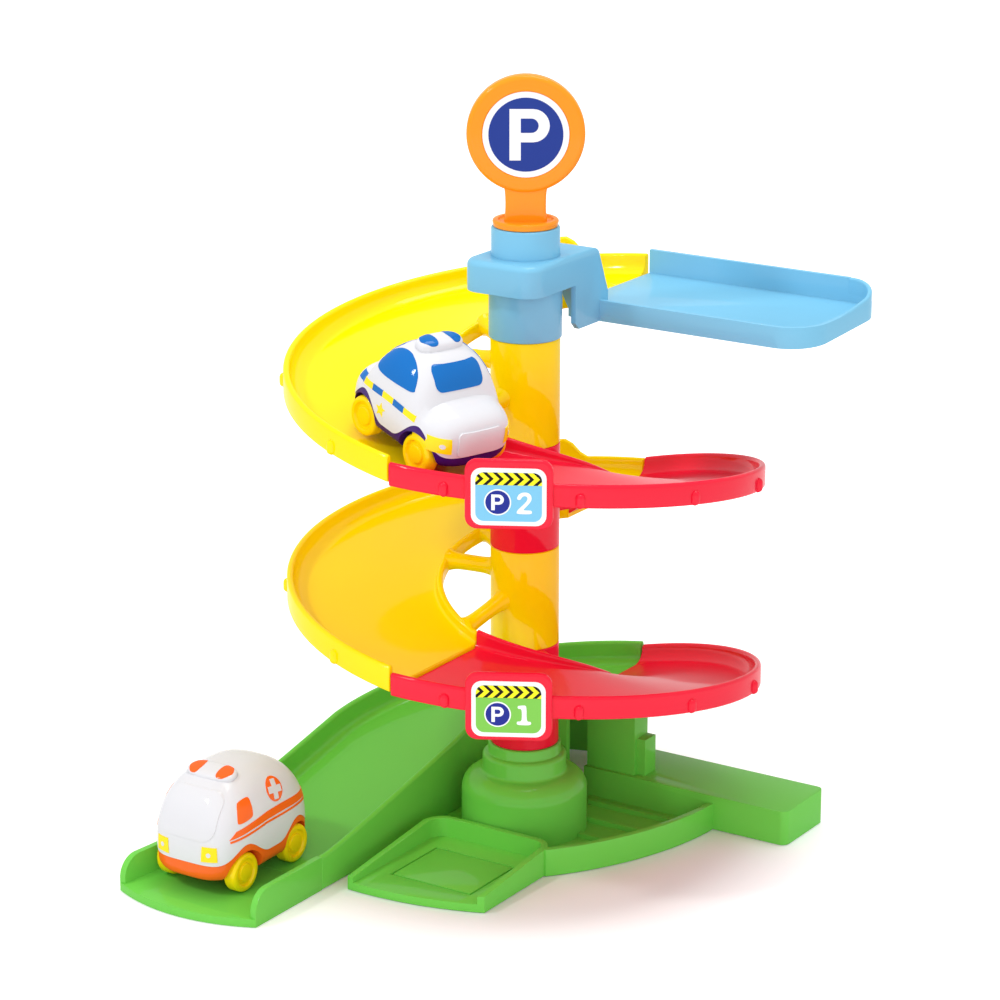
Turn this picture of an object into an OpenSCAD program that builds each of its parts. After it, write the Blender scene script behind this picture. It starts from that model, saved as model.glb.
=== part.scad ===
// Toy spiral car ramp. A green base with an exit ramp carries a column of plugged sleeves.
// Two red parking decks and two yellow spiral lanes wind round the column, a blue launch
// platform swings on the hub above them, a round sign turns on top, and two cars run on the lanes.
// Millimetres, +Z up, origin on the ground under the column, exit ramp towards -Y.

/* [Lanes] */
// Outer radius of the spiral lanes and decks
lane_outer_r = 145; // [138:1:152]
// Inner radius of the spiral lanes and decks
lane_inner_r = 50; // [47:0.5:52]
// Thickness of the rails
rail_t = 4; // [3:0.25:5]
// Height of the yellow lanes' outer rails over their underside
rail_h = 16; // [13:0.5:18]
// Height of the inner rails of the yellow lanes over their underside
inner_rail_h = 10; // [8:0.5:12]
// Thickness of the lane floors
floor_t = 3; // [2:0.25:4]
// Fillet radius between a lane floor and its outer rail
lane_fillet_r = 9; // [5:0.5:10]
// Bevel along the tops of the rails
rail_edge = 1; // [0.6:0.1:1.1]
// Gap left at each seam between two lanes, in degrees
seam_deg = 0.2; // [0.15:0.05:0.5]
// Height of the drop from a deck down to the next lane
join_step = 3; // [2:0.5:5]
// Height of the drop from a yellow lane down to the deck after it
landing_step = 2; // [1:0.5:3.5]

/* [Decks] */
// Height of the lower deck's underside where it starts
deck_start_z = 133; // [130:1:136]
// Height between the two decks
level_pitch = 127; // [124:1:130]
// Drop of a deck over its half turn
deck_drop = 67; // [62:1:69]
// Share of the deck's fall that is even, the rest grows along it
deck_ease = 0.25; // [0.15:0.05:0.5]
// Part of the deck over which its inner wall tapers to a curb
deck_wall_run = 0.58; // [0.45:0.01:0.7]
// Height of the decks' outer rails over their underside
deck_rail_h = 14; // [13.75:0.25:17]
// Height of the deck's inner wall where it starts, over the deck's underside
deck_wall_top = 13.5; // [11.5:0.25:13.5]
// Height of the curb where the deck's inner wall has ended, over the floor
deck_curb_h = 1.5; // [1.2:0.1:2]
// Width of the sign plate on each deck's rim
plate_w = 50; // [42:1:56]
// Height of the sign plate
plate_h = 41; // [38:1:46]
// Thickness of the sign plate
plate_t = 4.5; // [3.5:0.5:6]
// Corner radius of the sign plate
plate_corner_r = 7; // [4:0.5:9]
// Direction of the sign plate round the column, in degrees
plate_deg = 299; // [292:1:306]
// How far the sign plate stands over the rail's top
plate_over = 13; // [10:0.5:15]
// Margin between a sign plate's edge and its label
label_margin = 3.7; // [2.5:0.1:5]
// How far a label sits below the middle of its plate
label_drop = 1; // [0:0.25:2]
// Thickness of the spokes
spoke_t = 5; // [4:0.25:7]
// Height of the spokes
spoke_h = 7; // [6:0.5:9]
// Thickness of the printed labels
label_t = 0.5; // [0.3:0.1:0.8]

/* [Yellow lanes] */
// Share of a yellow lane's fall that is even, the rest grows along it
spiral_ease = 0.7; // [0.5:0.05:1]
// Height of the guard hump on the outer rail near its start
hump_h = 12; // [8:1:15]
// Direction of the guard hump, in degrees
hump_deg = 118; // [112:1:124]
// Half width of the guard hump, in degrees
hump_half_deg = 12; // [8:1:16]
// Radius of the struts from the column to the yellow lanes
strut_r = 5; // [4:0.25:6]

/* [Lane ribs] */
// Radius of the half-round ribs on the outer rails
rib_r = 3; // [2.5:0.25:4]
// Height of the ribs
rib_h = 9; // [7:0.5:11]

/* [Column] */
// Outer radius of the column sleeves
column_r = 21; // [20:0.25:21.5]
// Wall of the column sleeves
column_wall = 2.5; // [2:0.25:3]
// Height at which the lower deck's collar starts
column_base_z = 60; // [57:1:62]
// Length of a deck's collar
collar_len = 65; // [62:1:67]
// Length of the plug at the top of each sleeve
plug_len = 12; // [8:1:16]
// Radial clearance of a plug in the sleeve above it
plug_clear = 0.15; // [0.1:0.05:0.3]

/* [Boss] */
// Radius of the dome at the base
dome_r = 39; // [36:0.5:41]
// Height of the dome
dome_h = 41; // [38:1:44]
// Radius of the dome's rounded shoulder
dome_round = 12; // [9:0.5:12.5]
// Radius of the ring on the dome
ring_r = 26; // [25:0.25:26.5]
// Height at which the ring ends
ring_z = 53; // [51:0.5:55]
// Radius of the neck under the column
neck_r = 22.5; // [22:0.25:23.5]
// Wall of the boss
boss_wall = 3; // [2.5:0.25:3.5]

/* [Base tray] */
// Thickness of the base floor
base_t = 3; // [2.5:0.25:4]
// Height of the base's rim walls
rim_h = 17; // [14:0.5:19]
// Thickness of the base's rim walls
rim_t = 4; // [3:0.25:5]
// Radius of the curved rim
rim_r = 198; // [194:1:202]
// X of the curved rim's centre
rim_x = -99; // [-101:0.5:-97]
// Y of the curved rim's centre
rim_y = 73; // [71:0.5:75]
// Left side of the parking bay
bay_x0 = -38; // [-41:0.5:-36]
// Right side of the parking bay
bay_x1 = 50; // [47:0.5:52]
// Back of the parking bay
bay_y1 = -42; // [-43:0.5:-41]
// Front of the parking bay
bay_y0 = -132; // [-137:1:-127]
// Bulge of the parking bay's front edge
bay_bulge = 5; // [3:0.5:8]
// Distance by which the bulge's middle lies left of the bay's middle
bay_lean = 32; // [26:1:34]
// Outer corner radius at the back of the bay
bay_corner_r = 14; // [10:0.5:18]
// Height of the parking bay's floor
bay_floor_z = 5; // [4:0.25:6.5]
// Height of the bay's walls at their front end
bay_front_h = 9; // [7.5:0.5:12]
// Height of the floor ribs beside the dome
slat_h = 3; // [2:0.25:4]
// Width of the floor ribs beside the dome
slat_w = 4; // [3:0.25:6]
// Spacing of the floor ribs beside the dome
slat_step = 25; // [20:1:27]
// Distance from the arm to the first floor rib
slat_first = 14; // [10:1:18]
// Length of the outline engraved in the bay's floor
groove_len = 50; // [40:1:56]
// Distance of that outline from the bay's sides
groove_margin = 15; // [12:0.5:20]
// Width of that outline
groove_w = 1.5; // [1:0.1:2]
// Depth of that outline
groove_d = 1.2; // [0.6:0.1:1.6]

/* [Arm and tower] */
// Far end of the arm
arm_x1 = 150; // [143:1:153]
// Near end of the arm
arm_x0 = 4; // [2:0.5:5]
// Front of the arm
arm_y0 = 64; // [62:0.5:66]
// Back of the arm
arm_y1 = 114; // [110:1:118]
// Height of the arm
arm_h = 22; // [20:0.5:25]
// Wall of the arm and the tower
arm_wall = 3; // [2.5:0.25:4]
// Corner radius of the arm
arm_corner_r = 5; // [3:0.5:7]
// Distance of the tower from the arm's near end
tower_in = 0.5; // [0.5:0.5:4]
// Width of the tower
tower_w = 35; // [34:1:42]
// Depth of the tower
tower_d = 16; // [14:0.5:22]
// Height at which the tower ends
tower_top_z = 61; // [57:0.5:62]
// Width of the step beside the tower
step_w = 6; // [4:0.5:8]
// Height at which that step ends
step_top_z = 46; // [40:1:50]
// Diameter of the tower's pegs
tower_peg_d = 6; // [5:0.25:8]
// Distance of the pegs from the tower's sides
peg_in = 9; // [7:0.5:12]

/* [Exit ramp] */
// How far the ramp's straight run goes past the lanes' rim
run_over = 1; // [0.5:0.25:4]
// Length of the ramp's flat end
exit_flat_len = 66; // [58:1:72]
// Height of the underside of the ramp's floor on the flat
exit_floor_z = 2; // [1.5:0.25:3]
// Length over which the ramp eases into the flat
exit_ease = 20; // [12:1:28]
// Height of the ramp's rails over its floor's underside
exit_rail_h = 19; // [16:0.5:21]
// How far the left rail flares out at the front
exit_flare = 6; // [3:0.5:8]
// Bulge of the lip in front of the ramp
lip_bulge = 12; // [8:0.5:15]
// Radius of the rails' rounded front ends
rail_end_r = 13; // [9:0.5:14]
// Gap at the seam between the ramp and its apron
ramp_seam = 0.2; // [0.1:0.05:0.4]

/* [Hub and platform] */
// Outer radius of the hub's lower sleeve
hub_r = 22; // [21.5:0.25:22.5]
// Outer radius of the hub's upper tube
hub_tube_r = 20.5; // [20:0.1:20.8]
// How far the top sleeve stands over the levels' pitch
hub_rise = 3.5; // [2:0.5:5]
// Length of the hub's lower sleeve
hub_sleeve_len = 30.5; // [28:0.5:33]
// Length of the hub's upper tube
hub_tube_len = 36.5; // [34:0.5:40]
// Running clearance of the turning pieces, radial
running_clear = 0.08; // [0.04:0.01:0.1]
// Gap under a turning piece
turn_gap = 0.4; // [0.3:0.05:0.6]
// Half width of the block round the hub
block_half_w = 26; // [25:0.5:28]
// Height of the block
block_h = 19; // [16:0.5:21]
// Reach of the block behind the hub
block_back = 32; // [30:0.5:34]
// Corner radius of the block
block_corner_r = 12; // [9:0.5:14]
// Reach of the block along Y, over the arm
block_reach = 40; // [38:0.5:42]
// Near end of the launch platform
tray_x0 = 4; // [3.5:0.5:7]
// Far end of the launch platform
tray_x1 = 168; // [158:1:174]
// Front of the launch platform
tray_y0 = 42; // [40:0.5:44]
// Back of the launch platform
tray_y1 = 141; // [136:1:145]
// Height of the platform's skirt
tray_h = 13; // [11:0.5:15]
// Depth of the platform's floor under its rim
tray_depth = 5; // [3.5:0.5:7]
// Wall of the platform
tray_wall = 3; // [2.5:0.25:4]
// Share of the skirt below the floor that is gone at the platform's back
skirt_lift = 0.9; // [0.5:0.05:0.95]
// Corner radius at the platform's far end
tray_corner_r = 24; // [18:1:30]
// Height of the back rail over the platform's rim
back_rail_h = 10; // [7:0.5:13]
// Height of the underside of the launch platform
tray_z = 321; // [320:0.5:323]
// Height of the drop from the platform to the upper yellow lane
platform_step = 2; // [1:0.5:4]
// Distance of the arm's underside from the hub's axis, where it leaves the block
arm_y = 26; // [24:0.5:30]
// Reach of the arm's foot over the platform
arm_foot = 10; // [6:0.5:14]
// Height of the arm's foot over the platform's rim
arm_foot_h = 4; // [2:0.5:6]
// Thickness of the web beside the arm
web_t = 3.4; // [2.8:0.2:3.6]
// Distance of the web's near edge from the hub's axis
web_y = 15; // [13:0.5:18]
// Slant at the web's lower corner
web_slant = 4; // [2:0.5:6]

/* [Sign] */
// Radius of the round sign
sign_r = 35; // [32:0.5:38]
// Thickness of the round sign
sign_t = 11; // [9:0.5:13]
// Height of the sign's centre
sign_z = 440; // [436:1:446]
// Edge rounding of the sign
sign_round = 3; // [2:0.25:4]
// Radius of the sign's collar
sign_collar_r = 19.7; // [18.5:0.1:20.5]
// Height of the sign's collar
sign_collar_h = 4; // [3:0.5:6]
// Width of the sign's stem
stem_w = 24; // [20:0.5:28]
// Thickness of the sign's stem
stem_t = 8; // [6:0.5:9]
// Radius of the printed discs on the sign
sign_label_r = 25.5; // [24:0.5:27]
// Depth of the seats of the printed discs
seat_depth = 0.8; // [0.6:0.1:1.2]
// Radius of the sign's pivot plug
pivot_r = 15.5; // [14:0.5:16]
// Length of the sign's pivot plug
pivot_len = 14; // [10:1:18]
// Direction that the sign faces, in degrees
sign_deg = 303; // [295:1:311]

/* [Cars] */
// Length of a car
car_len = 92; // [87:1:95]
// Width of a car's body
car_w = 64; // [61:0.5:66]
// Height of the chassis' underside over the floor
car_low = 8; // [7:0.5:9.5]
// Height of the seam between chassis and shell
car_seam = 22; // [20:0.5:24]
// Height of the ambulance's roof
van_roof = 70; // [66:1:73]
// Height of the patrol car's roof
patrol_roof = 65; // [61:1:68]
// Height of the patrol car's bonnet
patrol_bonnet = 43; // [39:1:46]
// Wall of a car's shell
shell_wall = 2.4; // [1.8:0.1:3]
// Diameter of the wheels
wheel_d = 24; // [22:0.5:25]
// Width of the wheels
wheel_w = 9; // [8:0.5:10]
// Distance between the axles
wheelbase = 50; // [47:0.5:52]
// Distance between the middles of the left and right wheels
wheel_track = 50; // [48:0.5:51]
// Clearance of the wheels in their arches
arch_clear = 2; // [1.5:0.25:2.5]
// Gap between a wheel and the chassis beside it
wheel_gap = 0.5; // [0.4:0.1:1]
// Diameter of the steel axles
axle_d = 4; // [3:0.25:5]
// Running clearance of an axle in its chassis, radial
axle_clear = 0.06; // [0.04:0.01:0.1]
// Clearance of a wheel's bore on its axle, radial
grip_clear = 0.02; // [0.01:0.01:0.04]
// Distance of the ambulance's beacon ahead of the car's middle
van_beacon_x = 12; // [8:0.5:15]
// Distance of the patrol car's beacon ahead of the car's middle
patrol_beacon_x = -3; // [-6:0.5:0]
// Length of the roof beacon
beacon_len = 13; // [10:0.5:15]
// Width of the roof beacon
beacon_w = 28; // [24:0.5:31]
// Height of the roof beacon over the roof
beacon_h = 6; // [4.5:0.5:8]
// Gap between a wheel and the floor under it
floor_gap = 0.5; // [0.4:0.1:1]
// Distance of the ambulance's middle past the end of the run
van_ahead = 11; // [8:1:24]
// Gap between the ambulance's side and the ramp's outer rail
van_rail_gap = 1; // [1:0.25:6]
// Length of the beacon's foot in the roof
foot_len = 9; // [7:0.5:9.5]
// Direction of the patrol car round the column, in degrees
patrol_deg = 263.8; // [263.4:0.2:265]
// Extra width that the patrol car takes up in its lane, as it stands askew
patrol_askew = 3.4; // [2.4:0.2:5.4]
// Share of the lane's free width that lies inside the patrol car
patrol_inner_share = 0.25; // [0.17:0.01:0.37]
// Turn of the patrol car's nose out of its lane, in degrees
patrol_skew = 11.5; // [10:0.5:12]
// Height of the patrol car's wheels over the floors under them
patrol_lift = 1.4; // [1.3:0.1:2.5]

/* [Screws] */
// Diameter of the screws' shanks
screw_d = 3; // [2.5:0.1:3.5]
// Diameter of the screws' heads
screw_head_d = 5.6; // [5:0.1:6.4]
// Height of the screws' heads
screw_head_h = 2; // [1.5:0.1:2.4]
// Length of the screws' shanks
screw_len = 9; // [7:0.5:10]
// Clearance round a screw
screw_clear = 0.1; // [0.05:0.05:0.3]
// Depth of the base screws' heads under the floor's face
screw_sink = 0.3; // [0.2:0.1:0.6]

/* [Hidden] */
$fn = 64;
lane_steps = 36;
half_turn = 180;
deck_deg = 270;
spiral_deg = 90;
spoke_degs = [330, 375, 425];
strut_degs = [150, 187, 258];
strut_rises = [-6, 0, 11];
rim_centre = [rim_x, rim_y];
lane_mid_r = (lane_outer_r + lane_inner_r) / 2;
bore_r = column_r - column_wall;
plug_r = bore_r - plug_clear;
deck_end_z = deck_start_z - deck_drop;

// Heights of the column's sleeves, from the boss up
lower_column_z = column_base_z + collar_len;
deck_2_z = column_base_z + level_pitch;
upper_column_z = deck_2_z + collar_len;
hub_z = deck_2_z + level_pitch + hub_rise;
hub_shoulder_z = hub_z + hub_sleeve_len;
hub_top_z = hub_shoulder_z + hub_tube_len;
block_z = hub_shoulder_z + turn_gap;
collar_z = hub_top_z + turn_gap;

// Heights of the yellow lanes' undersides
lower_spiral_z = deck_start_z + level_pitch - deck_drop - join_step;
tray_floor_z = tray_z + tray_h - tray_depth;
upper_spiral_z = tray_floor_z - floor_t - platform_step;
lower_spiral_end_z = deck_start_z + landing_step;
upper_spiral_end_z = lower_spiral_end_z + level_pitch;

// Share of the fall that is done at a share of the way
function fall(share, ease) = ease * share + (1 - ease) * share * share;
function deck_height(share) = deck_start_z - deck_drop * fall(share, deck_ease);
function spiral_height(share, top, bottom) = top - (top - bottom) * fall(share, spiral_ease);
function smooth(x) = let(c = min(1, max(0, x))) c * c * (3 - 2 * c);
function hump(deg) = hump_h * smooth(2 - 2 * abs(deg - hump_deg) / hump_half_deg);

// A profile point, radius and height, turned to its place round the column
function ring(profile, deg, z) = [for (p = profile) [p[0] * cos(deg), p[0] * sin(deg), p[1] + z]];
function fillet_arc() = [for (a = [0, -30, -60, -90])
    [lane_outer_r - rail_t - lane_fillet_r + lane_fillet_r * cos(a),
     floor_t + lane_fillet_r + lane_fillet_r * sin(a)]];

// Section of a lane or deck: an outer rail, a filleted floor and an inner rail
function lane_profile(outer_h, inner_h) = concat(
    [[lane_inner_r, 0], [lane_outer_r, 0], [lane_outer_r, outer_h - rail_edge],
     [lane_outer_r - rail_edge, outer_h], [lane_outer_r - rail_t + rail_edge, outer_h],
     [lane_outer_r - rail_t, outer_h - rail_edge]],
    fillet_arc(),
    [[lane_inner_r + rail_t, floor_t], [lane_inner_r + rail_t, inner_h - rail_edge],
     [lane_inner_r + rail_t - rail_edge, inner_h], [lane_inner_r, inner_h]]);
lane_caps = [[0, 1, 9, 10], [1, 2, 3, 4, 5, 6], [1, 6, 7], [1, 7, 8], [1, 8, 9], [0, 10, 11, 12, 13]];

// A deck's inner wall tapers to a curb
function deck_wall_h(share) =
    floor_t + max(deck_curb_h, (deck_wall_top - floor_t) * (1 - share / deck_wall_run));

// Closed solid through a row of rings, each with as many points as the first.
// caps splits the end faces into convex pieces where a section is forked
module loft(rings, caps = []) {
    count = len(rings[0]);
    last = len(rings) - 1;
    sides = [for (i = [0:last - 1]) for (j = [0:count - 1]) let(k = (j + 1) % count)
        each [[i * count + j, i * count + k, (i + 1) * count + j],
              [i * count + k, (i + 1) * count + k, (i + 1) * count + j]]];
    ends = len(caps) > 0 ? caps : [[for (j = [0:count - 1]) j]];
    near_cap = [for (c = ends) [for (j = [len(c) - 1:-1:0]) c[j]]];
    far_cap = [for (c = ends) [for (j = c) last * count + j]];
    polyhedron(points = [for (r = rings) each r], faces = concat(sides, near_cap, far_cap), convexity = 10);
}

// Column sleeve with a bore and a plug at its top for the next sleeve
module sleeve(outer_r, z, length) {
    translate([0, 0, z]) cylinder(r = outer_r, h = length);
    translate([0, 0, z]) cylinder(r = plug_r, h = length + plug_len);
}
module sleeve_bore(z, length) {
    translate([0, 0, z - 1]) cylinder(r = bore_r, h = length - plug_len + 1);
    translate([0, 0, z]) cylinder(r = bore_r - column_wall, h = length + plug_len + 1);
}

// Half-round ribs outside the rails, one at each direction
module rail_ribs(degs, heights) {
    for (i = [0:len(degs) - 1])
        rotate([0, 0, degs[i]]) translate([lane_outer_r - 0.5, 0, heights[i]])
            cylinder(r = rib_r, h = rib_h, $fn = 24);
}

module rounded_rect(w, h, r) {
    square([w - 2 * r, h], center = true);
    square([w, h - 2 * r], center = true);
    for (x = [-1, 1], y = [-1, 1]) translate([x * (w / 2 - r), y * (h / 2 - r)]) circle(r = r, $fn = 32);
}

// Green boss in the middle of the base, with the plug for the column
boss_floor = base_t;
module column_boss() {
    color("limegreen") difference() {
        union() {
            rotate_extrude() difference() {
                union() {
                    translate([0, boss_floor]) square([dome_r, dome_h - boss_floor - dome_round]);
                    translate([0, boss_floor]) square([dome_r - dome_round, dome_h - boss_floor]);
                    translate([dome_r - dome_round, dome_h - dome_round]) circle(r = dome_round);
                    square([ring_r, ring_z]);
                    square([neck_r, column_base_z]);
                }
                translate([-dome_r, boss_floor - dome_r]) square([2 * dome_r, dome_r]);
                translate([-2 * dome_r, 0]) square([2 * dome_r, 2 * column_base_z]);
            }
            translate([0, 0, column_base_z - 1]) cylinder(r = plug_r, h = plug_len + 1);
        }
        translate([0, 0, boss_floor - 1])
            cylinder(r = plug_r - boss_wall, h = column_base_z + plug_len + 2);
        translate([0, 0, boss_floor - 1])
            cylinder(r = dome_r - dome_round - boss_wall, h = dome_h - boss_floor - boss_wall + 1);
        for (a = screw_degs) rotate([0, 0, a]) translate([screw_ring_r, 0, boss_floor - 1])
            cylinder(d = screw_d + 2 * screw_clear, h = screw_len + 2);
    }
}

// Screws from below that hold the boss on the base floor
screw_degs = [45, 135, 225, 315];
screw_ring_r = dome_r - dome_round / 2;
module base_screws() {
    color("silver") for (a = screw_degs) rotate([0, 0, a]) translate([screw_ring_r, 0, screw_sink]) {
        cylinder(d = screw_head_d, h = screw_head_h);
        cylinder(d = screw_d, h = screw_len);
    }
}

// Plan of the base: the part of a large disc beside the ramp, the bay and the arm
ramp_side_x = -lane_inner_r + 0.5;
module disc_plan(inset) {
    intersection() {
        translate(rim_centre) circle(r = rim_r - inset, $fn = 180);
        translate([ramp_side_x, bay_y1 - bay_corner_r + inset])
            square([2 * rim_r, arm_y0 - bay_y1 + bay_corner_r - inset + 2]);
        union() {
            circle(r = -ramp_side_x);
            translate([ramp_side_x, -rim_r]) square([2 * rim_r, rim_r]);
            translate([0, -rim_r]) square([2 * rim_r, 2 * rim_r]);
        }
    }
}
module bay_plan(inset) {
    w = bay_x1 - bay_x0;
    front_r = (w * w / 4 + bay_bulge * bay_bulge) / (2 * bay_bulge);
    intersection() {
        union() {
            translate([bay_x0 + inset, bay_y0 - bay_bulge])
                square([w - 2 * inset, bay_y1 - bay_y0 + bay_bulge - bay_corner_r]);
            translate([bay_x0 + bay_corner_r, bay_y0 - bay_bulge])
                square([w - 2 * bay_corner_r, bay_y1 - bay_y0 + bay_bulge - inset]);
            for (x = [bay_x0 + bay_corner_r, bay_x1 - bay_corner_r])
                translate([x, bay_y1 - bay_corner_r]) circle(r = bay_corner_r - inset);
        }
        translate([(bay_x0 + bay_x1) / 2 - bay_lean, bay_y0 - bay_bulge + front_r])
            circle(r = front_r - inset / 2, $fn = 180);
    }
}
module arm_plan(inset) {
    translate([arm_x0 + inset, arm_y0 + inset])
        square([arm_x1 - arm_x0 - arm_corner_r - inset, arm_y1 - arm_y0 - 2 * inset]);
    translate([arm_x0 + inset, arm_y0 + arm_corner_r])
        square([arm_x1 - arm_x0 - 2 * inset, arm_y1 - arm_y0 - 2 * arm_corner_r]);
    for (y = [arm_y0 + arm_corner_r, arm_y1 - arm_corner_r])
        translate([arm_x1 - arm_corner_r, y]) circle(r = arm_corner_r - inset);
}

// Green base tray: floor, curved rim, parking bay with tapered walls, arm and floor ribs
module base_tray() {
    groove_x = bay_x1 - bay_x0 - 2 * groove_margin;
    bay_slope = (rim_h - bay_front_h) / (bay_y1 - bay_y0 - bay_corner_r);
    color("limegreen") difference() {
        union() {
            linear_extrude(base_t) disc_plan(0);
            linear_extrude(rim_h) difference() {
                disc_plan(0);
                translate(rim_centre) circle(r = rim_r - rim_t, $fn = 180);
            }
            linear_extrude(bay_floor_z) bay_plan(0);
            difference() {
                linear_extrude(rim_h) difference() {
                    bay_plan(0);
                    bay_plan(rim_t);
                    translate([bay_x0 + rim_t, bay_y0 - 2 * bay_bulge])
                        square([bay_x1 - bay_x0 - 2 * rim_t, bay_corner_r + 2 * bay_bulge]);
                }
                translate([bay_x0 - 1, bay_y1 - bay_corner_r, rim_h])
                    rotate([atan(bay_slope), 0, 0]) translate([0, -2 * rim_r, 0])
                        cube([bay_x1 - bay_x0 + 2, 2 * rim_r, rim_h]);
            }
            difference() {
                linear_extrude(arm_h) arm_plan(0);
                translate([0, 0, -1]) linear_extrude(arm_h - arm_wall + 1) arm_plan(arm_wall);
            }
            for (i = [0:2]) let(y = arm_y0 - slat_first - i * slat_step) translate([0, y, 0]) intersection() {
                translate([dome_r * 0.4, 0, 0]) cube([rim_r, slat_w, base_t + slat_h]);
                translate([0, -y, 0]) linear_extrude(rim_h) disc_plan(rim_t / 2);
            }
        }
        translate([0, 0, base_t]) cylinder(r = dome_r + plug_clear, h = rim_h);
        for (a = screw_degs) rotate([0, 0, a]) translate([screw_ring_r, 0, -1]) {
            cylinder(d = screw_d + 2 * screw_clear, h = base_t + 2);
            cylinder(d = screw_head_d + 2 * screw_clear, h = 1 + screw_sink + screw_head_h + screw_clear);
        }
        for (x = tower_peg_xs) translate([x, tower_y0 + tower_d / 2, arm_h - arm_wall - 1])
            cylinder(d = tower_peg_d + 2 * plug_clear, h = arm_wall + 2);
        translate([(bay_x0 + bay_x1) / 2, (bay_y0 + bay_y1 - rim_t) / 2, bay_floor_z - groove_d])
            linear_extrude(groove_d + 1) difference() {
                square([groove_x, groove_len], center = true);
                square([groove_x - 2 * groove_w, groove_len - 2 * groove_w], center = true);
            }
    }
}

// Hollow green tower on the arm, under the end of the lower deck
tower_x0 = arm_x0 + tower_in;
tower_y0 = arm_y0 + 3;
tower_peg_xs = [tower_x0 + peg_in, tower_x0 + tower_w - peg_in];
module ramp_tower() {
    color("limegreen") {
        difference() {
            translate([tower_x0, tower_y0, arm_h]) cube([tower_w, tower_d, tower_top_z - arm_h]);
            translate([tower_x0 + arm_wall, tower_y0 + arm_wall, arm_h + arm_wall])
                cube([tower_w - 2 * arm_wall, tower_d - 2 * arm_wall, tower_top_z]);
        }
        translate([tower_x0 + tower_w - 0.01, tower_y0 + arm_wall, arm_h])
            cube([step_w, tower_d - arm_wall, step_top_z - arm_h]);
        for (x = tower_peg_xs) translate([x, tower_y0 + tower_d / 2, arm_h - arm_wall - 2])
            cylinder(d = tower_peg_d, h = arm_wall + 3);
    }
}

// Green exit ramp: a quarter turn and a straight run on skirts
exit_start_z = deck_end_z - join_step;
arc_len = lane_mid_r * PI / 2;
run_y = -lane_outer_r - run_over;
exit_y0 = run_y - exit_flat_len;
run_len = arc_len - run_y;
exit_slope = (exit_start_z - exit_floor_z) * (run_len + exit_ease) / (run_len * run_len);
function exit_height(d) = exit_floor_z + (d <= 0 ? 0 : exit_slope * d * d / (d + exit_ease));
function exit_profile(d) = let(f = exit_height(d), top = f + exit_rail_h)
    [[lane_inner_r, 0], [lane_inner_r + rail_t, 0], [lane_inner_r + rail_t, f],
     [lane_outer_r - rail_t, f], [lane_outer_r - rail_t, 0], [lane_outer_r, 0],
     [lane_outer_r, top - rail_edge], [lane_outer_r - rail_edge, top],
     [lane_outer_r - rail_t + rail_edge, top], [lane_outer_r - rail_t, top - rail_edge],
     [lane_outer_r - rail_t, f + floor_t], [lane_inner_r + rail_t, f + floor_t],
     [lane_inner_r + rail_t, top - rail_edge], [lane_inner_r + rail_t - rail_edge, top],
     [lane_inner_r, top]];
exit_caps = [[0, 1, 2], [0, 2, 11, 14], [11, 12, 13, 14], [2, 3, 10, 11], [3, 4, 5], [3, 5, 6, 10],
    [6, 7, 8, 9, 10]];
exit_arc_steps = 16;
exit_run_steps = 16;
module exit_ramp() {
    arc_rings = [for (i = [0:exit_arc_steps]) let(s = i / exit_arc_steps)
        ring(exit_profile(arc_len * (1 - s) - run_y), spiral_deg + seam_deg + (90 - seam_deg) * s, 0)];
    run_rings = [for (i = [1:exit_run_steps]) let(y = (run_y + ramp_seam) * i / exit_run_steps)
        [for (p = exit_profile(y - run_y)) [-p[0], y, p[1]]]];
    color("limegreen") loft(concat(arc_rings, run_rings), exit_caps);
}

// Green apron at the foot of the ramp: a flat floor with a bulging lip between two rails
apron_left_x = -lane_outer_r - exit_flare;
apron_w = -lane_inner_r - apron_left_x;
lip_r = (apron_w * apron_w / 4 + lip_bulge * lip_bulge) / (2 * lip_bulge);
module apron_plan(inset) {
    intersection() {
        polygon([[-lane_inner_r - inset, run_y], [-lane_inner_r - inset, exit_y0 - lip_bulge],
            [apron_left_x + inset, exit_y0 - lip_bulge], [apron_left_x + inset, exit_y0],
            [-lane_outer_r + inset, run_y]]);
        translate([apron_left_x + apron_w / 2, exit_y0 - lip_bulge + lip_r])
            circle(r = lip_r - inset, $fn = 180);
    }
}
module exit_apron() {
    top = exit_floor_z + exit_rail_h;
    color("limegreen") difference() {
        union() {
            linear_extrude(exit_floor_z + floor_t) apron_plan(0);
            intersection() {
                linear_extrude(top) {
                    translate([-lane_inner_r - rail_t, exit_y0]) square([rail_t, exit_flat_len]);
                    polygon([[apron_left_x, exit_y0], [apron_left_x + rail_t, exit_y0],
                        [-lane_outer_r + rail_t, run_y], [-lane_outer_r, run_y]]);
                }
                translate([apron_left_x - 1, 0, 0]) rotate([90, 0, 90]) linear_extrude(apron_w + 2) {
                    translate([exit_y0, 0]) square([exit_flat_len, top - rail_end_r]);
                    translate([exit_y0 + rail_end_r, 0]) square([exit_flat_len - rail_end_r, top]);
                    translate([exit_y0 + rail_end_r, top - rail_end_r]) circle(r = rail_end_r);
                }
            }
        }
        translate([0, 0, -1]) linear_extrude(exit_floor_z + 1) apron_plan(rail_t);
    }
}

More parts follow.
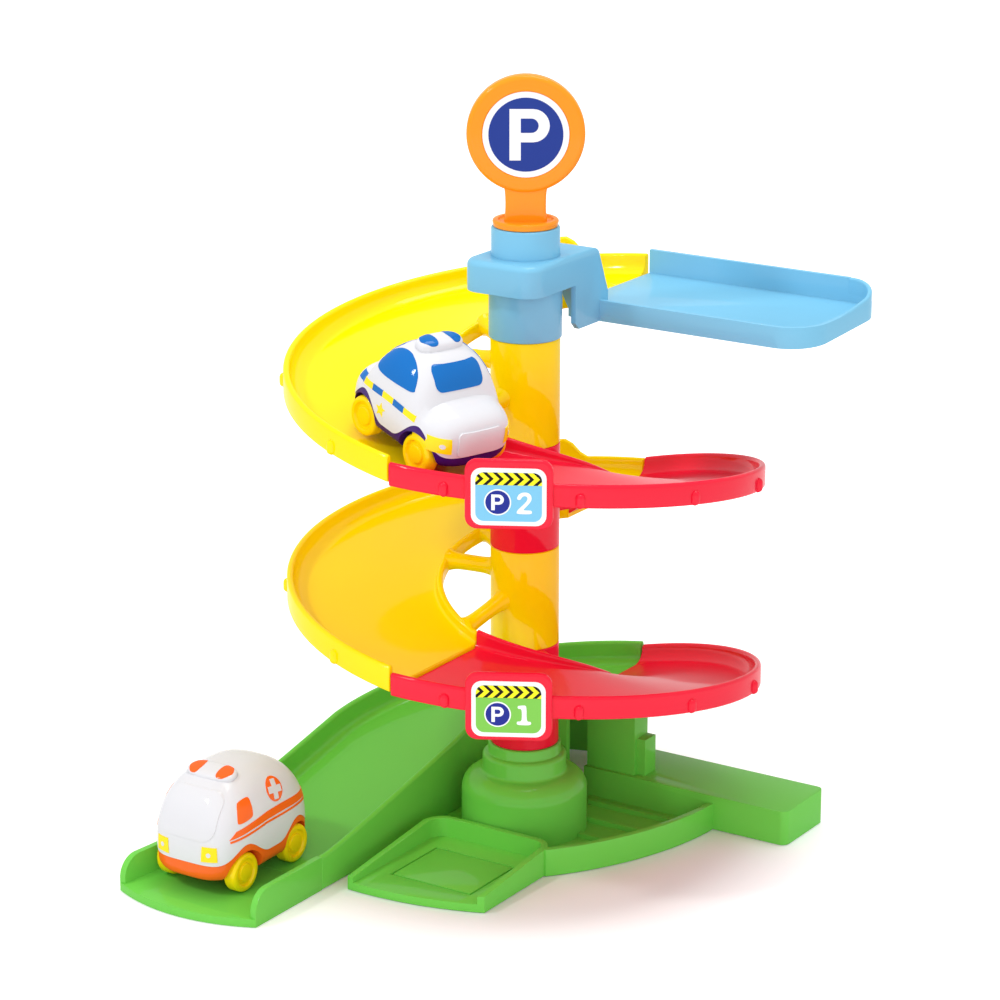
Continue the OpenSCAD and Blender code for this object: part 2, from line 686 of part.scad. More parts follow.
// Red deck: collar, floor, rails, ribs and the sign plate on its rim
deck_rib_degs = [284, 315, 345, 375, 405];
plate_r = lane_outer_r - rail_t / 2;
plate_share = (plate_deg - deck_deg) / half_turn;
module at_plate(level) {
    translate([0, 0, deck_height(plate_share) + level * level_pitch + deck_rail_h + plate_over - plate_h / 2])
        rotate([0, 0, plate_deg]) translate([plate_r, 0, 0]) rotate([90, 0, 90]) children();
}
module deck(level) {
    lift = level * level_pitch;
    rings = [for (i = [0:lane_steps]) let(s = i / lane_steps)
        ring(lane_profile(deck_rail_h, deck_wall_h(s)), deck_deg + seam_deg + (half_turn - 2 * seam_deg) * s,
            deck_height(s) + lift)];
    color("crimson") difference() {
        union() {
            sleeve(column_r, column_base_z + lift, collar_len);
            loft(rings, lane_caps);
            for (a = spoke_degs) rotate([0, 0, a])
                translate([bore_r + 1, -spoke_t / 2,
                    deck_height((a - deck_deg) / half_turn) + lift + floor_t - spoke_h])
                    cube([lane_inner_r + rail_t / 2 - bore_r - 1, spoke_t, spoke_h]);
            rail_ribs(deck_rib_degs, [for (a = deck_rib_degs)
                deck_height((a - deck_deg) / half_turn) + lift]);
            at_plate(level) linear_extrude(plate_t) rounded_rect(plate_w, plate_h, plate_corner_r);
        }
        sleeve_bore(column_base_z + lift, collar_len);
    }
}
module deck_1() { deck(0); }
module deck_2() { deck(1); }

// Printed labels on the sign plates
module deck_label(level) {
    color("white") at_plate(level) translate([0, -label_drop, plate_t]) linear_extrude(label_t)
        rounded_rect(plate_w - 2 * label_margin, plate_h - 2 * label_margin,
            plate_corner_r - label_margin / 2);
}
module deck_1_label() { deck_label(0); }
module deck_2_label() { deck_label(1); }

// Yellow lane with its column sleeve and the struts that carry it
spiral_rib_degs = [135, 174, 213, 252];
module spiral(column_z, column_len, top, bottom) {
    rings = [for (i = [0:lane_steps]) let(s = i / lane_steps, a = spiral_deg + half_turn * s)
        ring(lane_profile(rail_h + hump(a), inner_rail_h),
            spiral_deg + seam_deg + (half_turn - 2 * seam_deg) * s,
            spiral_height(s, top, bottom))];
    strut_run = lane_inner_r + rail_t / 2;
    color("gold") difference() {
        union() {
            sleeve(column_r, column_z, column_len);
            loft(rings, lane_caps);
            for (i = [0:len(strut_degs) - 1]) {
                z = spiral_height((strut_degs[i] - spiral_deg) / half_turn, top, bottom) + strut_r;
                tilt = atan(strut_rises[i] / (strut_run - column_r));
                rotate([0, 0, strut_degs[i]]) translate([strut_run, 0, z]) rotate([0, -90 + tilt, 0])
                    cylinder(r = strut_r, h = (strut_run - bore_r - 1) / cos(tilt), $fn = 32);
            }
            rail_ribs(spiral_rib_degs, [for (a = spiral_rib_degs)
                spiral_height((a - spiral_deg) / half_turn, top, bottom)]);
        }
        sleeve_bore(column_z, column_len);
    }
}
module lower_spiral() {
    spiral(lower_column_z, deck_2_z - lower_column_z, lower_spiral_z, lower_spiral_end_z);
}
module upper_spiral() {
    spiral(upper_column_z, hub_z - upper_column_z, upper_spiral_z, upper_spiral_end_z);
}

// Blue hub on top of the column: a sleeve, a shoulder and the tube that the platform turns on
module hub() {
    color("skyblue") difference() {
        union() {
            translate([0, 0, hub_z]) cylinder(r = hub_r, h = hub_sleeve_len);
            translate([0, 0, hub_z]) cylinder(r = hub_tube_r, h = hub_top_z - hub_z);
        }
        translate([0, 0, hub_z - 1]) cylinder(r = bore_r, h = plug_len + 2);
        translate([0, 0, hub_z - 1]) cylinder(r = pivot_r + running_clear, h = hub_top_z - hub_z + 2);
    }
}

// Blue launch platform: a block round the hub, an arm down to the tray, and the tray
module tray_plan(inset) {
    translate([tray_x0, tray_y0 + inset])
        square([tray_x1 - tray_x0 - tray_corner_r, tray_y1 - tray_y0 - 2 * inset]);
    translate([tray_x0, tray_y0 + tray_corner_r])
        square([tray_x1 - tray_x0 - inset, tray_y1 - tray_y0 - 2 * tray_corner_r]);
    for (y = [tray_y0 + tray_corner_r, tray_y1 - tray_corner_r])
        translate([tray_x1 - tray_corner_r, y]) circle(r = tray_corner_r - inset);
}
module launch_platform() {
    rim_z = tray_z + tray_h;
    block_top_z = block_z + block_h;
    color("skyblue") difference() {
        union() {
            difference() {
                translate([0, 0, tray_z]) linear_extrude(tray_h) tray_plan(0);
                translate([0, 0, tray_floor_z]) linear_extrude(tray_h) {
                    tray_plan(tray_wall);
                    translate([tray_x0 - 1, tray_y0 + tray_wall])
                        square([tray_corner_r, tray_y1 - tray_y0 - 2 * tray_wall]);
                }
                translate([0, 0, tray_z - 1]) linear_extrude(tray_floor_z - tray_z - floor_t + 1)
                    intersection() {
                        tray_plan(tray_wall);
                        translate([tray_x0 + tray_wall, tray_y0]) square([tray_x1, tray_y1]);
                    }
                translate([tray_x0 - 1, 0, 0]) rotate([90, 0, 90]) linear_extrude(tray_x1)
                    polygon([[tray_y0 + tray_wall, tray_z - 1], [tray_y0 + tray_wall, tray_z],
                        [tray_y1 + 1, tray_z + skirt_lift * (tray_floor_z - floor_t - tray_z)],
                        [tray_y1 + 1, tray_z - 1]]);
            }
            translate([tray_x0, tray_y1 - tray_wall, rim_z - 0.01])
                cube([tray_x1 - tray_x0 - tray_corner_r, tray_wall, back_rail_h]);
            translate([0, 0, block_z]) linear_extrude(block_h) {
                translate([0, (block_reach - block_back) / 2])
                    rounded_rect(2 * block_half_w, block_reach + block_back, block_corner_r);
                translate([tray_x0, 0]) square([block_half_w - tray_x0, block_reach]);
            }
            translate([tray_x0, 0, 0]) rotate([90, 0, 90]) linear_extrude(block_half_w - tray_x0)
                polygon([[arm_y, block_z + 1], [tray_y0, tray_floor_z - floor_t],
                    [tray_y0 + arm_foot, tray_floor_z], [tray_y0 + arm_foot, rim_z + arm_foot_h],
                    [block_reach, block_top_z], [arm_y, block_top_z]]);
            translate([block_half_w - web_t, 0, 0]) rotate([90, 0, 90]) linear_extrude(web_t)
                polygon([[web_y, block_z + 1], [web_y, tray_z + web_slant], [web_y + web_slant, tray_z],
                    [tray_y0 + tray_wall, tray_z], [tray_y0 + tray_wall, rim_z],
                    [block_reach, block_top_z - 1]]);
        }
        translate([0, 0, block_z - 1]) cylinder(r = hub_tube_r + running_clear, h = block_h + 2);
    }
}

// Orange sign: collar and pivot plug, flat stem and a round disc with a seat on each side
module at_sign() { translate([0, 0, sign_z]) rotate([0, 0, sign_deg]) rotate([90, 0, 90]) children(); }
module sign_post() {
    color("darkorange") union() {
        translate([0, 0, collar_z - turn_gap - pivot_len])
            cylinder(r = pivot_r, h = pivot_len + turn_gap + 1);
        translate([0, 0, collar_z]) cylinder(r = sign_collar_r, h = sign_collar_h);
        rotate([0, 0, sign_deg]) translate([-stem_t / 2, -stem_w / 2, collar_z + 1])
            cube([stem_t, stem_w, sign_z - sign_r * 0.8 - collar_z]);
        at_sign() difference() {
            rotate_extrude() {
                translate([0, -sign_t / 2]) square([sign_r - sign_round, sign_t]);
                translate([0, -sign_t / 2 + sign_round]) square([sign_r, sign_t - 2 * sign_round]);
                for (side = [-1, 1]) intersection() {
                    translate([sign_r - sign_round, side * (sign_t / 2 - sign_round)]) circle(r = sign_round);
                    translate([0, -sign_t]) square([2 * sign_r, 2 * sign_t]);
                }
            }
            for (side = [-1, 1]) translate([0, 0, side * sign_t / 2 - seat_depth])
                cylinder(r = sign_label_r + plug_clear, h = 2 * seat_depth);
        }
    }
}
module sign_label(side) {
    color("white") at_sign() translate([0, 0, side * (sign_t / 2 - seat_depth) - (side < 0 ? label_t : 0)])
        cylinder(r = sign_label_r, h = label_t);
}
module sign_label_front() { sign_label(1); }
module sign_label_back() { sign_label(-1); }

// Cars. Each is drawn with its nose along +X and its wheels on z = 0, then placed
van_x = -(lane_outer_r - rail_t - van_rail_gap - car_w / 2);
van_y = run_y - van_ahead;
van_z = exit_floor_z + floor_t + floor_gap;
van_pitch = asin((exit_height(wheelbase / 2 - van_ahead) - exit_floor_z) / wheelbase);
module at_van() {
    translate([van_x, van_y, van_z + wheelbase / 2 * sin(van_pitch)]) rotate([0, van_pitch, -90]) children();
}

// The patrol car stands with its rear wheels on the upper lane and its front wheels on the upper deck
patrol_turn = patrol_deg + 90 - patrol_skew;
patrol_room = car_w + patrol_askew;
patrol_free = lane_outer_r - lane_inner_r - 2 * rail_t - patrol_room;
patrol_r = lane_inner_r + rail_t + patrol_room / 2 + patrol_inner_share * patrol_free;
patrol_spot = patrol_r * [cos(patrol_deg), sin(patrol_deg)];
function wheel_deg(x, y) = let(p = patrol_spot + x * [cos(patrol_turn), sin(patrol_turn)]
    + y * [-sin(patrol_turn), cos(patrol_turn)]) atan2(p[1], p[0]) + 360;
function rear_floor(side) = floor_t + spiral_height(
    (wheel_deg(-wheelbase / 2, side * wheel_track / 2) - spiral_deg) / half_turn,
    upper_spiral_z, upper_spiral_end_z);
function front_floor(side) = floor_t + level_pitch + deck_height(
    (wheel_deg(wheelbase / 2, side * wheel_track / 2) - deck_deg) / half_turn);
patrol_rear_z = max(rear_floor(1), rear_floor(-1)) + patrol_lift;
patrol_front_z = max(front_floor(1), front_floor(-1)) + patrol_lift;
patrol_pitch = asin((patrol_rear_z - patrol_front_z) / wheelbase);
module at_patrol() {
    translate([patrol_spot[0], patrol_spot[1], (patrol_rear_z + patrol_front_z) / 2])
        rotate([0, patrol_pitch, patrol_turn]) children();
}
car_half = car_len / 2;
car_stations = 14;
car_points = 14;
function swell(x, power) = pow(max(0, 1 - pow(abs(x), power)), 1 / power);
function side_sign(x) = x < 0 ? -1 : 1;
function van_top(x) = (van_roof - car_seam) * swell(x, 2.5);
function patrol_top(x) = max((patrol_bonnet - car_seam) * swell(x, 3.4),
    (patrol_roof - car_seam) * swell((x + 0.06) / 0.62, 2.4));
function roof_height(is_van, x) = car_seam + (is_van ? van_top(x / car_half) : patrol_top(x / car_half));
function car_section(x, half_w, top) = [for (i = [0:car_points]) let(t = i * half_turn / car_points)
    [x, half_w * side_sign(cos(t)) * pow(abs(cos(t)), 0.7), car_seam + top * pow(abs(sin(t)), 0.7)]];
// Body of a car as sections along its length, drawn in by a wall for its hollow
module car_body(is_van, inset) {
    reach = 0.985;
    loft([for (i = [0:car_stations]) let(x = reach * cos(half_turn * i / car_stations))
        car_section(x * (car_half - inset), (car_w / 2 - inset) * swell(x, 3.8),
            (is_van ? van_top(x) : patrol_top(x)) - inset)]);
}
arch_r = wheel_d / 2 + arch_clear;
arch_y = wheel_track / 2 - wheel_w / 2 - wheel_gap;
module arches() {
    for (side = [-1, 1], x = [-1, 1])
        translate([x * wheelbase / 2, side * arch_y, wheel_d / 2]) rotate([-90 * side, 0, 0])
            cylinder(r = arch_r, h = car_w / 2);
}
module car_shell(is_van, tint) {
    color(tint) difference() {
        car_body(is_van, 0);
        translate([0, 0, -0.01]) car_body(is_van, shell_wall);
        arches();
        beacon_foot(is_van, plug_clear);
    }
}
// Foot of the beacon, which plugs into a slot in the roof
function beacon_x(is_van) = is_van ? van_beacon_x : patrol_beacon_x;
function beacon_z(is_van) = turn_gap + max([for (end = [-1, 0, 1])
    roof_height(is_van, beacon_x(is_van) + end * beacon_len / 2)]);
module beacon_foot(is_van, grow) {
    translate([beacon_x(is_van), 0, beacon_z(is_van) + 0.5 - foot_len / 2])
        cube([beacon_len / 2 + 2 * grow, beacon_w / 2 + 2 * grow, foot_len], center = true);
}
module car_beacon(is_van, tint) {
    color(tint) union() {
        beacon_foot(is_van, 0);
        translate([beacon_x(is_van), 0, beacon_z(is_van)]) linear_extrude(beacon_h)
            rounded_rect(beacon_len, beacon_w, beacon_len / 2 - 0.5);
    }
}
module car_chassis(tint) {
    steps = 48;
    color(tint) difference() {
        translate([0, 0, car_low]) linear_extrude(car_seam - car_low)
            polygon([for (i = [0:steps - 1]) let(t = 360 * i / steps)
                [car_half * side_sign(cos(t)) * pow(abs(cos(t)), 0.6),
                 car_w / 2 * side_sign(sin(t)) * pow(abs(sin(t)), 0.6)]]);
        arches();
        for (x = [-1, 1]) translate([x * wheelbase / 2, 0, wheel_d / 2]) rotate([90, 0, 0])
            cylinder(d = axle_d + 2 * axle_clear, h = 2 * car_w, center = true);
        for (x = car_screw_xs) translate([x, 0, car_low - 1]) {
            cylinder(d = screw_d + 2 * screw_clear, h = car_seam);
            cylinder(d = screw_head_d + 2 * screw_clear, h = screw_head_h + 2 + screw_clear);
        }
    }
}
car_screw_xs = [-8, 8];
module car_screws() {
    color("silver") for (x = car_screw_xs) translate([x, 0, car_low + 1]) {
        cylinder(d = screw_head_d, h = screw_head_h);
        cylinder(d = screw_d, h = screw_head_h + screw_len - 1);
    }
}
module car_axle(end) {
    color("silver") translate([end * wheelbase / 2, 0, wheel_d / 2]) rotate([90, 0, 0])
        cylinder(d = axle_d, h = wheel_track + wheel_w - 4, center = true);
}
// Pair of moulded wheels with a rounded tread, a dished face and a hub
module car_wheels(end) {
    tread = 2;
    color("gold") for (side = [-1, 1])
        translate([end * wheelbase / 2, side * wheel_track / 2, wheel_d / 2]) rotate([-90 * side, 0, 0])
            difference() {
                rotate_extrude() difference() {
                    union() {
                        translate([0, -wheel_w / 2]) square([wheel_d / 2 - tread, wheel_w]);
                        translate([0, -wheel_w / 2 + tread]) square([wheel_d / 2, wheel_w - 2 * tread]);
                        for (y = [-1, 1]) translate([wheel_d / 2 - tread, y * (wheel_w / 2 - tread)])
                            circle(r = tread, $fn = 24);
                    }
                    translate([wheel_d / 4 - 0.5, wheel_w / 2 - 1.2]) square([wheel_d / 4 - 2, 3]);
                }
                translate([0, 0, -wheel_w]) cylinder(d = axle_d + 2 * grip_clear, h = 2 * wheel_w - 2.5);
            }
}

module patrol_shell() { at_patrol() car_shell(false, "white"); }
module patrol_chassis() { at_patrol() car_chassis("midnightblue"); }
module patrol_beacon() { at_patrol() car_beacon(false, "royalblue"); }
module patrol_screws() { at_patrol() car_screws(); }
module patrol_front_axle() { at_patrol() car_axle(1); }
module patrol_rear_axle() { at_patrol() car_axle(-1); }
module patrol_front_wheels() { at_patrol() car_wheels(1); }
module patrol_rear_wheels() { at_patrol() car_wheels(-1); }
module van_shell() { at_van() car_shell(true, "white"); }
module van_chassis() { at_van() car_chassis("orangered"); }
module van_beacon() { at_van() car_beacon(true, "orangered"); }
module van_screws() { at_van() car_screws(); }
module van_front_axle() { at_van() car_axle(1); }
module van_rear_axle() { at_van() car_axle(-1); }
module van_front_wheels() { at_van() car_wheels(1); }
module van_rear_wheels() { at_van() car_wheels(-1); }

base_tray();
column_boss();
base_screws();
ramp_tower();
exit_ramp();
exit_apron();
deck_1();
deck_1_label();
lower_spiral();
deck_2();
deck_2_label();
upper_spiral();
hub();
launch_platform();
sign_post();
sign_label_front();
sign_label_back();
patrol_shell();
patrol_chassis();
patrol_beacon();
patrol_screws();
patrol_front_axle();
patrol_rear_axle();
patrol_front_wheels();
patrol_rear_wheels();
van_shell();
van_chassis();
van_beacon();
van_screws();
van_front_axle();
van_rear_axle();
van_front_wheels();
van_rear_wheels();
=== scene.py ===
# Looks of a toy spiral car ramp: a green base, a column of sleeves, two red decks, two yellow
# lanes, a blue launch platform, a round sign and two cars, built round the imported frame.
import math

import bmesh
import bpy
from mathutils import Matrix, Vector


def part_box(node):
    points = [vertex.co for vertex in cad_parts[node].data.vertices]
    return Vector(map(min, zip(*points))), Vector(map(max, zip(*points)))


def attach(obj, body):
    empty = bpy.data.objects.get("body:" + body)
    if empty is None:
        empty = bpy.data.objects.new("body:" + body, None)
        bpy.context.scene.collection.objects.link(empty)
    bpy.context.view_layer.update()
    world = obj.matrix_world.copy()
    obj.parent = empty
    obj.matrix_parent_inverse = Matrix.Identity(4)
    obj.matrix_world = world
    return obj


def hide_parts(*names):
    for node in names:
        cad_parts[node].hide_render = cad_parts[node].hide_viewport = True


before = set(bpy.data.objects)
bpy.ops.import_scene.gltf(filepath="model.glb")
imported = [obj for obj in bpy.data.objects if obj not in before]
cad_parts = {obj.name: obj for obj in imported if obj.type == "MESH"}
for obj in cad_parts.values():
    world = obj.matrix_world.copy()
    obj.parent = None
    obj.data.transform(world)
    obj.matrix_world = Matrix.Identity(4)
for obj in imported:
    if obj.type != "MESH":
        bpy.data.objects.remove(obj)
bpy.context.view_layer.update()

# Base tray: one shallow green moulding with a curved rim, a parking bay in front, floor ribs and
# a boxed arm at the right. It is glossy injection-moulded plastic with lightly rounded edges.
MM = 0.001
WELD = 0.001 * MM
BASE_EDGE = 1.4


def ink(red, green, blue):
    """A screen colour, each part from 0 to 255, as the linear colour that a shader takes."""
    parts = [c / 255 for c in (red, green, blue)]
    return (*[((p + 0.055) / 1.055) ** 2.4 if p > 0.04 else p / 12.92 for p in parts], 1.0)


class Wire:
    """A value on its way through a material's nodes, which takes part in Python sums."""

    def __init__(self, tree, socket):
        self.tree = tree
        self.socket = socket

    def node(self, kind, settings, sockets, output=0):
        """Adds a node, sets it up, feeds its sockets with values or wires, and gives one output."""
        made = self.tree.nodes.new(kind)
        for key, value in settings.items():
            setattr(made, key, value)
        for key, value in sockets.items():
            if isinstance(value, Wire):
                self.tree.links.new(value.socket, made.inputs[key])
            else:
                made.inputs[key].default_value = value
        return Wire(self.tree, made.outputs[output])

    def sum(self, operation, first, second):
        return self.node("ShaderNodeMath", {"operation": operation}, {0: first, 1: second})

    def __add__(self, other):
        return self.sum("ADD", self, other)

    def __radd__(self, other):
        return self.sum("ADD", other, self)

    def __sub__(self, other):
        return self.sum("SUBTRACT", self, other)

    def __rsub__(self, other):
        return self.sum("SUBTRACT", other, self)

    def __mul__(self, other):
        return self.sum("MULTIPLY", self, other)

    def __rmul__(self, other):
        return self.sum("MULTIPLY", other, self)

    def noise(self, scale, detail):
        return self.node("ShaderNodeTexNoise", {}, {"Vector": self, "Scale": scale, "Detail": detail})

    def mix(self, first, second):
        """The colour between two colours, by this wire."""
        return self.node("ShaderNodeMix", {"data_type": "RGBA"}, {0: self, 6: first, 7: second}, 2)


def plastic(name, slot, colour, roughness=0.3, coat=0.16, shine=0.02):
    """Moulded plastic: a faint drift of tone, slightly uneven gloss and a fine grain."""
    material = bpy.data.materials.new(name)
    material["slot"] = slot
    material.use_nodes = True
    tree = material.node_tree
    shader = tree.nodes["Principled BSDF"]
    place = Wire(tree, tree.nodes.new("ShaderNodeTexCoord").outputs["Object"])
    darker = (*[c * 0.97 for c in colour[:3]], 1.0)
    lighter = (*[min(1.0, c * 1.03) for c in colour[:3]], 1.0)
    tone = place.noise(14.0, 1.0).mix(darker, lighter)
    gloss = place.noise(40.0, 2.0) * 0.04 + (roughness - 0.02)
    grain = place.noise(1500.0, 2.0)
    bump = grain.node("ShaderNodeBump", {}, {"Strength": 0.04, "Distance": 0.02 * MM, "Height": grain})
    for wire, socket in ((tone, "Base Color"), (gloss, "Roughness"), (bump, "Normal")):
        tree.links.new(wire.socket, shader.inputs[socket])
    shader.inputs["Coat Weight"].default_value = coat
    shader.inputs["Coat Roughness"].default_value = 0.06
    shader.inputs["Coat IOR"].default_value = 2.0
    shader.inputs["Specular IOR Level"].default_value = shine
    return material


def only(piece):
    """Makes a piece the one selected and active object."""
    bpy.ops.object.select_all(action="DESELECT")
    piece.select_set(True)
    bpy.context.view_layer.objects.active = piece


def soften(piece, rounding, segments=3, angle=35):
    """Rounds a moulding's sharp edges and smooths its shading."""
    only(piece)
    bevel = piece.modifiers.new("Rounding", "BEVEL")
    bevel.width = rounding * MM
    bevel.segments = segments
    bevel.limit_method = "ANGLE"
    bevel.angle_limit = math.radians(angle)
    bpy.ops.object.modifier_apply(modifier=bevel.name)
    bpy.ops.object.shade_smooth_by_angle(angle=math.radians(angle))
    return piece


def dressed(piece, body, material, *nodes):
    """Gives a finished piece its material and body, and hides the nodes that it stands for."""
    piece.data.materials.clear()
    piece.data.materials.append(material)
    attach(piece, body)
    if nodes:
        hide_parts(*nodes)
    return piece


def welded_copy(node):
    """A copy of a CAD node, welded and cleared of flat edges."""
    piece = bpy.data.objects.new(node + "_moulding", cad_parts[node].data.copy())
    bpy.context.scene.collection.objects.link(piece)
    only(piece)
    bpy.ops.mesh.customdata_custom_splitnormals_clear()
    bpy.ops.object.mode_set(mode="EDIT")
    bpy.ops.mesh.select_all(action="SELECT")
    bpy.ops.mesh.remove_doubles(threshold=WELD)
    bpy.ops.mesh.dissolve_limited(angle_limit=math.radians(1))
    bpy.ops.object.mode_set(mode="OBJECT")
    return piece


green = plastic("green_plastic", "green", ink(108, 200, 74))
dressed(soften(welded_copy("base_tray"), BASE_EDGE), "tower", green, "base_tray")

# Boss: a domed green stand with a ring and a neck, which the column plugs onto. It is moulded
# hollow and held on the tray by four steel screws from below.
BOSS_BORE_R, DOME_R, DOME_FOOT_Z, DOME_TOP_Z, DOME_ROUND = 18, 39, 3, 41, 12
RING_R, RING_TOP_Z, NECK_R, NECK_TOP_Z = 26, 53, 22.5, 60


def arc(across, up, radius_across, radius_up, start, end, steps):
    """Points of an elliptic arc round a centre, from one angle to another in degrees."""
    angles = [math.radians(start + (end - start) * i / steps) for i in range(steps + 1)]
    return [(across + radius_across * math.cos(a), up + radius_up * math.sin(a)) for a in angles]


def turned(name, outline, steps=96):
    """A round moulding: a closed outline of radius and height, in millimetres, spun about Z."""
    bpy.ops.object.select_all(action="DESELECT")
    bpy.ops.mesh.primitive_circle_add(vertices=len(outline), fill_type="NOTHING")
    piece = bpy.context.object
    piece.name = name
    bpy.ops.object.mode_set(mode="EDIT")
    for vert, (radius, height) in zip(bmesh.from_edit_mesh(piece.data).verts, outline):
        vert.co = (radius * MM, 0, height * MM)
    bpy.ops.mesh.select_all(action="SELECT")
    bpy.ops.mesh.spin(steps=steps, angle=2 * math.pi, center=(0, 0, 0), axis=(0, 0, 1))
    bpy.ops.mesh.select_all(action="SELECT")
    bpy.ops.mesh.remove_doubles(threshold=WELD)
    bpy.ops.mesh.dissolve_degenerate(threshold=WELD)
    bpy.ops.mesh.select_all(action="SELECT")
    bpy.ops.mesh.normals_make_consistent(inside=False)
    bpy.ops.object.mode_set(mode="OBJECT")
    only(piece)
    bpy.ops.object.shade_smooth_by_angle(angle=math.radians(35))
    return piece


def steel():
    """Bright plated steel with fine drawn streaks."""
    material = bpy.data.materials.new("plated_steel")
    material.use_nodes = True
    tree = material.node_tree
    shader = tree.nodes["Principled BSDF"]
    place = Wire(tree, tree.nodes.new("ShaderNodeTexCoord").outputs["Object"])
    streak = place.noise(900.0, 4.0)
    tree.links.new(streak.mix(ink(150, 152, 156), ink(205, 207, 210)).socket, shader.inputs["Base Color"])
    tree.links.new((streak * 0.2 + 0.2).socket, shader.inputs["Roughness"])
    shader.inputs["Metallic"].default_value = 1.0
    return material


boss_outline = [(BOSS_BORE_R, DOME_FOOT_Z), (DOME_R, DOME_FOOT_Z)]
boss_outline += arc(DOME_R - DOME_ROUND, DOME_TOP_Z - DOME_ROUND, DOME_ROUND, DOME_ROUND, 0, 84, 14)
boss_outline += arc(RING_R + 2, DOME_TOP_Z + 2, 2, 2, 270, 180, 4)
boss_outline += arc(RING_R - 2.5, RING_TOP_Z - 2.5, 2.5, 2.5, 0, 90, 6)
boss_outline += arc(NECK_R + 0.8, RING_TOP_Z + 0.8, 0.8, 0.8, 270, 180, 3)
boss_outline += arc(NECK_R - 1, NECK_TOP_Z - 1, 1, 1, 0, 90, 4)
boss_outline += [(BOSS_BORE_R, NECK_TOP_Z)]
dressed(turned("column_boss_moulding", boss_outline), "tower", green, "column_boss")
steel_finish = steel()
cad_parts["base_screws"].data.materials.clear()
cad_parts["base_screws"].data.materials.append(steel_finish)

# Ramp tower: a hollow green post on the arm that carries the low end of the first deck. It is a
# thin-walled moulding pegged into the arm, with a step at its side.
POST_EDGE = 0.9
dressed(soften(welded_copy("ramp_tower"), POST_EDGE), "tower", green, "ramp_tower")

# Exit ramp: the green quarter turn and straight run that bring a car down to the ground, a floor
# between two rails on skirts. It is moulded in one, and its apron clips on at the foot.
LANE_OUTER_R, LANE_INNER_R, RAIL_T, FLOOR_T = 145, 50, 4, 3
LANE_MID_R = (LANE_OUTER_R + LANE_INNER_R) / 2
SEAM_DEG, RAMP_SEAM = 0.2, 0.2
EXIT_TOP_Z, EXIT_FLOOR_Z, EXIT_EASE, EXIT_RAIL_H, EXIT_FILLET_R = 63, 2, 20, 19, 7
RUN_END_Y = -146
ARC_LEN = LANE_MID_R * math.pi / 2
RUN_LEN = ARC_LEN - RUN_END_Y
EXIT_SLOPE = (EXIT_TOP_Z - EXIT_FLOOR_Z) * (RUN_LEN + EXIT_EASE) / RUN_LEN**2


def swept(name, sections):
    """A closed moulding drawn through sections, in millimetres, by extruding its end face."""
    count = len(sections[0])
    bpy.ops.object.select_all(action="DESELECT")
    bpy.ops.mesh.primitive_circle_add(vertices=count, fill_type="NGON")
    piece = bpy.context.object
    piece.name = name
    bpy.ops.object.mode_set(mode="EDIT")
    ring = [loop.vert for loop in next(iter(bmesh.from_edit_mesh(piece.data).faces)).loops]
    for number, section in enumerate(sections):
        if number:
            first = ring[0].co.copy()
            bpy.ops.mesh.extrude_region()
            end = next(f for f in bmesh.from_edit_mesh(piece.data).faces if f.select)
            ring = [loop.vert for loop in end.loops]
            start = min(range(count), key=lambda i: (ring[i].co - first).length)
            ring = ring[start:] + ring[:start]
        for vert, point in zip(ring, section):
            vert.co = Vector(point) * MM
    bpy.ops.mesh.select_all(action="SELECT")
    bpy.ops.mesh.normals_make_consistent(inside=False)
    bpy.ops.object.mode_set(mode="OBJECT")
    only(piece)
    bpy.ops.object.shade_smooth_by_angle(angle=math.radians(35))
    return piece


def exit_outline(way_left):
    """Section of the ramp, as radius and height, at a distance before the flat end."""
    rise = EXIT_SLOPE * way_left**2 / (way_left + EXIT_EASE) if way_left > 0 else 0
    under = EXIT_FLOOR_Z + rise
    floor, top, half = under + FLOOR_T, under + EXIT_RAIL_H, RAIL_T / 2
    outer, inner, fillet = LANE_OUTER_R - RAIL_T, LANE_INNER_R + RAIL_T, EXIT_FILLET_R
    outline = [(LANE_INNER_R, 0), (inner, 0), (inner, under), (outer, under), (outer, 0), (LANE_OUTER_R, 0)]
    outline += arc(LANE_OUTER_R - half, top - half, half, half, 0, 180, 8)
    outline += arc(outer - fillet, floor + fillet, fillet, fillet, 0, -90, 6)
    outline += arc(inner + fillet, floor + fillet, fillet, fillet, 270, 180, 6)
    outline += arc(LANE_INNER_R + half, top - half, half, half, 0, 180, 8)
    return outline


def round_column(outline, degrees, height=0):
    """A section of radius and height, turned to its direction round the column."""
    turn = math.radians(degrees)
    return [(r * math.cos(turn), r * math.sin(turn), z + height) for r, z in outline]


ramp_sections = []
for step in range(41):
    share = step / 40
    ramp_sections.append(
        round_column(exit_outline(ARC_LEN * (1 - share) - RUN_END_Y), 90 + SEAM_DEG + (90 - SEAM_DEG) * share)
    )
for step in range(1, 31):
    y = (RUN_END_Y + RAMP_SEAM) * step / 30
    ramp_sections.append([(-r, y, z) for r, z in exit_outline(y - RUN_END_Y)])
dressed(soften(swept("exit_ramp_moulding", ramp_sections), 0.6, 2, 50), "tower", green, "exit_ramp")

# Exit apron: the flat end of the ramp, with a bulging lip between two rail ends that are rounded
# off. It is a separate green moulding, and a fine seam shows where it meets the run.
APRON_EDGE = 1.6
dressed(soften(welded_copy("exit_apron"), APRON_EDGE), "tower", green, "exit_apron")

